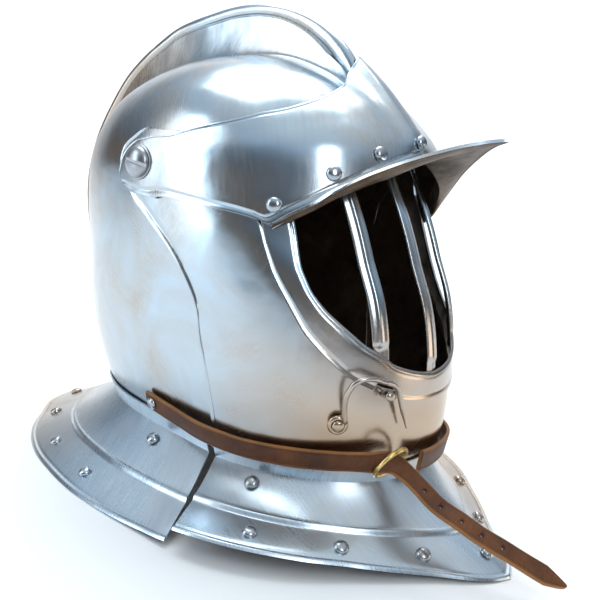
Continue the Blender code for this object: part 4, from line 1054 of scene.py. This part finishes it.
def build_hook():
    """Wire hook with an eye, the stud the eye turns on, and the post the hook drops over."""
    axis = unit(HOOK_AXIS)
    centre = HOOK_EYE + axis * 3.4
    path = spline(HOOK_WIRE, 130)
    flat = path[0] - centre
    joint = centre + unit(flat - axis * np.dot(flat, axis)) * HOOK_EYE_RADIUS
    path = np.concatenate([[joint], path[3:]])
    radii = HOOK_WIRE_RADIUS - 1.1 * ease(np.linspace(0, 1, len(path)), 0.82, 1.0)
    radii[-1] = 0.25
    wire = sweep("hook_wire", path, wire_frames(path), round_wire(radii), TRIM)
    stand_for(wire, "hook", "polished_steel", "visor_hook")
    ring = hoop("hook_eye", centre, axis, HOOK_EYE_RADIUS, np.full(48, HOOK_WIRE_RADIUS), TRIM)
    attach(ring, "hook")
    build_stud("eye_stud", "hook_eye_stud", HOOK_EYE, HOOK_AXIS,
               [(0.0, 2.3), (5.5, 2.3), (5.6, 3.4), (5.8, 3.7), (6.3, 3.5), (6.8, 2.8), (7.2, 1.8),
                (7.4, 0.6)])
    build_stud("keeper_stud", "hook_keeper", KEEPER_FOOT, KEEPER_OUT,
               [(0.0, 1.9), (7.6, 1.9), (7.7, 3.0), (8.0, 3.2), (8.6, 3.0), (9.2, 2.2), (9.6, 1.2),
                (9.7, 0.4)])


# ---- straps and their ring ----
def facing(p):
    """Outward direction of the skull's shape at a helmet point."""
    return unit(np.array([section_value(*(p + step)) - section_value(*(p - step))
                          for step in np.eye(3)]))


def nearest(points, place_on):
    return int(np.argmin(np.linalg.norm(points - place_on, axis=1)))


def strap_section(half, thick):
    """Strap cross section: rounded corners and a creased line inside each edge."""
    crease = 0.24
    right = [(half - 0.9, 0.0), (half - 0.3, 0.12), (half, 0.5), (half, thick - 0.5),
             (half - 0.25, thick - 0.14), (half - 0.8, thick), (half - 1.5, thick),
             (half - 1.9, thick - crease), (half - 2.3, thick)]
    points = right + [(-a, o) for a, o in right[::-1]]
    pale = [0.5, 1.0, 1.0, 1.0, 0.8, 0.25, 0.0, 0.0, 0.0]
    return np.array(points), np.array(pale + pale[::-1])


def strap_leans(centres, loose):
    """Outward directions of a strap: off the shell, and turning level along a loose tail."""
    leans = []
    for p in centres:
        t = min(max((p[0] - 104) / 20.0, 0.0), 1.0) if loose else 0.0
        leans.append(facing(p) * (1 - t) + np.array([0.42, 0.30, 0.86]) * t)
    return np.array(leans)


def build_strap(name, node, course, count, loose):
    """Strap from the skull's side to the bevor's; a loose one has a punched, pointed tail."""
    centres = spline(course, count)
    tang = unit(np.gradient(centres, axis=0))
    out = strap_leans(centres, loose)
    out = unit(out - tang * np.sum(out * tang, axis=1, keepdims=True))
    across = np.cross(tang, out)
    run = run_along(centres)
    width = np.full(count, 1.0)
    if loose:
        width = np.minimum(1.0, 0.10 + 0.9 * ((run[-1] - run) / STRAP_WIDTH) ** 0.8)
    width *= 1 + 0.012 * np.sin(run / 9.0) + 0.008 * np.sin(run / 3.7)
    points, pale = strap_section(STRAP_WIDTH / 2, STRAP_THICK)
    sections = np.stack([points[:, 0] * width[:, None],
                         np.broadcast_to(points[:, 1], (count, len(points)))], axis=-1)
    grain = np.stack(np.broadcast_arrays(points[:, 0], run[:, None], 0.0), axis=-1).reshape(-1, 3)
    strap = sweep(name, centres, (across, out), sections, LEATHER,
                  {"strap": grain, "edge": np.tile(pale, count)}, smooth=60)
    if loose:
        holes = []
        cad = spline(course, 46)
        for k in range(5):
            i = nearest(centres, cad[31 + 2 * k])
            holes.append(turned("hole_%d" % k, [(-0.003, 0.00135), (0.006, 0.00135)],
                                place(centres[i]), heading(centres[i], out[i]), LEATHER, 20))
        carve(strap, None, *holes)
    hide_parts(node)
    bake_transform(strap)
    return centres, out


def build_ring(centres, out):
    """Cast ring, a little uneven, lying on the long strap."""
    middle = np.array(RING_CENTRE) + out[nearest(centres, RING_CENTRE)] * STRAP_THICK / 2
    turn = np.linspace(0, 2 * math.pi, 72, endpoint=False)
    wire = RING_WIRE_RADIUS + 0.08 * np.sin(3 * turn + 1) + 0.05 * np.sin(7 * turn)
    ring = hoop("cast_ring", middle, unit(RING_AXIS), RING_RADIUS, wire, BRASS)
    stand_for(ring, "bevor", "old_brass", "strap_ring")


# ---- quilted liner ----
def build_liner():
    """Linen shell with diamond quilting and a stitched hem, a few millimetres inside the skull."""
    columns, rows = 130, 70
    low = [medial(LINER_ENDS[0])] + [chart_of(f, z, LINER_OUT) for f, z in LINER_LOW]
    border = spline(low + [medial(LINER_ENDS[1] - 360)], columns)
    crown = np.array([medial(b) for b in np.linspace(*LINER_ENDS, columns)])
    chart = between(border[None], crown[None], np.linspace(0, 1, rows)[:, None, None])
    middle = shell(chart, (LINER_OUT + LINER_IN) / 2)
    across, along = run_along(middle, 1).mean(axis=0), run_along(middle)
    puff = np.sin(math.pi * (across + along) / QUILT) * np.sin(math.pi * (across - along) / QUILT)
    hem = ease(along, 0.0, 7.0) * (1 - 0.35 * hump(along, 9.0, 2.0))
    puff = np.abs(puff) ** 0.35 * hem
    outer = shell(chart, LINER_OUT - 1.5 + 1.3 * puff)
    inner = shell(chart, LINER_IN + 2.9 - 2.7 * puff)
    for face in (outer, inner):
        face[-1, :, 1] = 0.0
        face[:, [0, -1], 1] = 0.0
    liner = plate("quilted_liner", outer, inner, LINEN)
    stand_for(liner, "skull", "padded_linen", "liner")


# ---- floor, light and camera ----
def build_stage():
    """Pale floor that sweeps up into a wall behind the helmet."""
    ahead = Vector((CAMERA_FORWARD[0], CAMERA_FORWARD[1], 0)).normalized()
    side = Vector((-ahead.y, ahead.x, 0))
    reach, bend, wall, half_width, below = 2.4, 1.2, 3.2, 4.5, 0.0002
    line = [(-2.0, 0.0), (-1.0, 0.0), (1.0, 0.0)]
    for a in np.linspace(0, math.pi / 2, 24):
        line.append((reach + bend * math.sin(a), bend * (1 - math.cos(a))))
    line.append((reach + bend, wall))
    verts = [ahead * x + side * w + Vector((0, 0, z - below))
             for x, z in line for w in (-half_width, half_width)]
    faces = [[2 * i, 2 * i + 1, 2 * i + 3, 2 * i + 2] for i in range(len(line) - 1)]
    s = Surface("pale_floor")
    cloud = s.noise(s.where(), 1.2, 3)
    tone = s.ramp(cloud, [(0.3, (0.86, 0.86, 0.86)), (0.7, (0.89, 0.89, 0.89))])
    floor = new_object("studio_sweep", verts, faces, s.finish(Base_Color=tone, Roughness=0.9))


def softbox(name, at, aim, size, watts, colour):
    """Rectangular area light at a place, aimed at another."""
    light = bpy.data.lights.new(name, "AREA")
    light.shape = "RECTANGLE"
    light.size, light.size_y = size
    light.energy = watts
    light.color = colour
    obj = add_object(name, light)
    obj.location = at
    obj.rotation_euler = (Vector(aim) - Vector(at)).to_track_quat("-Z", "Y").to_euler()


def build_light():
    centre = (0.0, 0.0, 0.16)
    cool, warm = (0.88, 0.95, 1.0), (1.0, 0.86, 0.70)
    softbox("overhead", (0.10, 0.25, 1.25), centre, (0.9, 0.7), 8.5, (0.86, 0.95, 1.0))
    softbox("window_left", (-1.15, 0.85, 0.60), centre, (0.40, 1.1), 7, (0.80, 0.91, 1.0))
    softbox("window_front", (-0.75, -1.15, 0.85), centre, (0.34, 0.8), 6.5, cool)
    softbox("low_front", (0.70, -1.10, 0.22), centre, (0.7, 0.30), 1.6, warm)
    softbox("wall_wash", (1.2, 1.0, 2.6), (2.4, 1.9, 0.9), (1.8, 1.8), 85, (1.0, 1.0, 1.0))
    # the steel reflects a room, warm below and cool above; the camera sees a plain pale one
    world = bpy.data.worlds.new("studio")
    bpy.context.scene.world = world
    bpy.context.scene.view_settings.view_transform = "Standard"
    s = Surface("studio", world)
    axes = s.add("ShaderNodeSeparateXYZ", {0: s.add("ShaderNodeTexCoord").outputs["Generated"]})
    room = s.ramp(axes.outputs["Z"], [(0.0, (0.10, 0.06, 0.035)), (0.09, (0.22, 0.14, 0.085)),
                                      (0.20, (0.13, 0.13, 0.14)), (0.40, (0.20, 0.26, 0.33)),
                                      (0.60, (0.55, 0.66, 0.78)), (0.9, (0.90, 0.96, 1.0))])
    s.finish(Color=room, Strength=0.85)
    plain = s.add("ShaderNodeBackground", {"Color": (0.93, 0.94, 0.95, 1)}).outputs[0]
    seen = s.add("ShaderNodeLightPath").outputs["Is Camera Ray"]
    mix = s.add("ShaderNodeMixShader", {0: seen, 1: s.shader.outputs[0], 2: plain})
    s.feed(s.tree.nodes["World Output"], {"Surface": mix.outputs[0]})


def build_camera():
    camera = bpy.data.cameras.new("main_view")
    camera.sensor_width = 36.0
    camera.lens = LENS
    obj = add_object("main_view", camera)
    back = -Vector(CAMERA_FORWARD).normalized()
    up = Vector(CAMERA_UP)
    right = up.cross(back).normalized()
    up = back.cross(right)
    turn = Matrix((right, up, back)).transposed().to_4x4()
    obj.matrix_world = Matrix.Translation(CAMERA_PLACE) @ turn
    bpy.context.scene.camera = obj


build_skull()
build_bevor()
build_visor()
build_bar("bar_right", 46.0, -31.6, "visor_bar_right")
build_bar("bar_centre", 0.001, -33.0, "visor_bar_centre")
build_bar("bar_left", -46.0, -31.6, "visor_bar_left")
build_brow()
build_peak()
build_gorget("front_gorget", "gorget_front", FRONT_RIM, (0, 85.5), (46, 38), BEVOR + 2.0, "bevor")
build_gorget("rear_gorget", "gorget_rear", REAR_RIM, (91.5, 180), (38, 44), SKULL + 2.0, "skull")
build_rivets(frame["record"]["behaviour"]["bodies"])
build_screw("pivot_screw_right", 1)
build_screw("pivot_screw_left", -1)
build_hook()
long_strap = build_strap("long_strap", "neck_strap", STRAP_COURSE + TAIL, 300, True)
build_strap("far_strap", "short_strap", SHORT_COURSE, 160, False)
build_ring(*long_strap)
build_liner()
for node in ("pivot_washer_right", "pivot_washer_left", "pivot_nut_right", "pivot_nut_left"):
    kept = frame["nodes"][node]
    for slot in kept.material_slots:
        slot.material = SCREW
    round_edges(kept, 0.0003)

build_stage()
build_light()
build_camera()
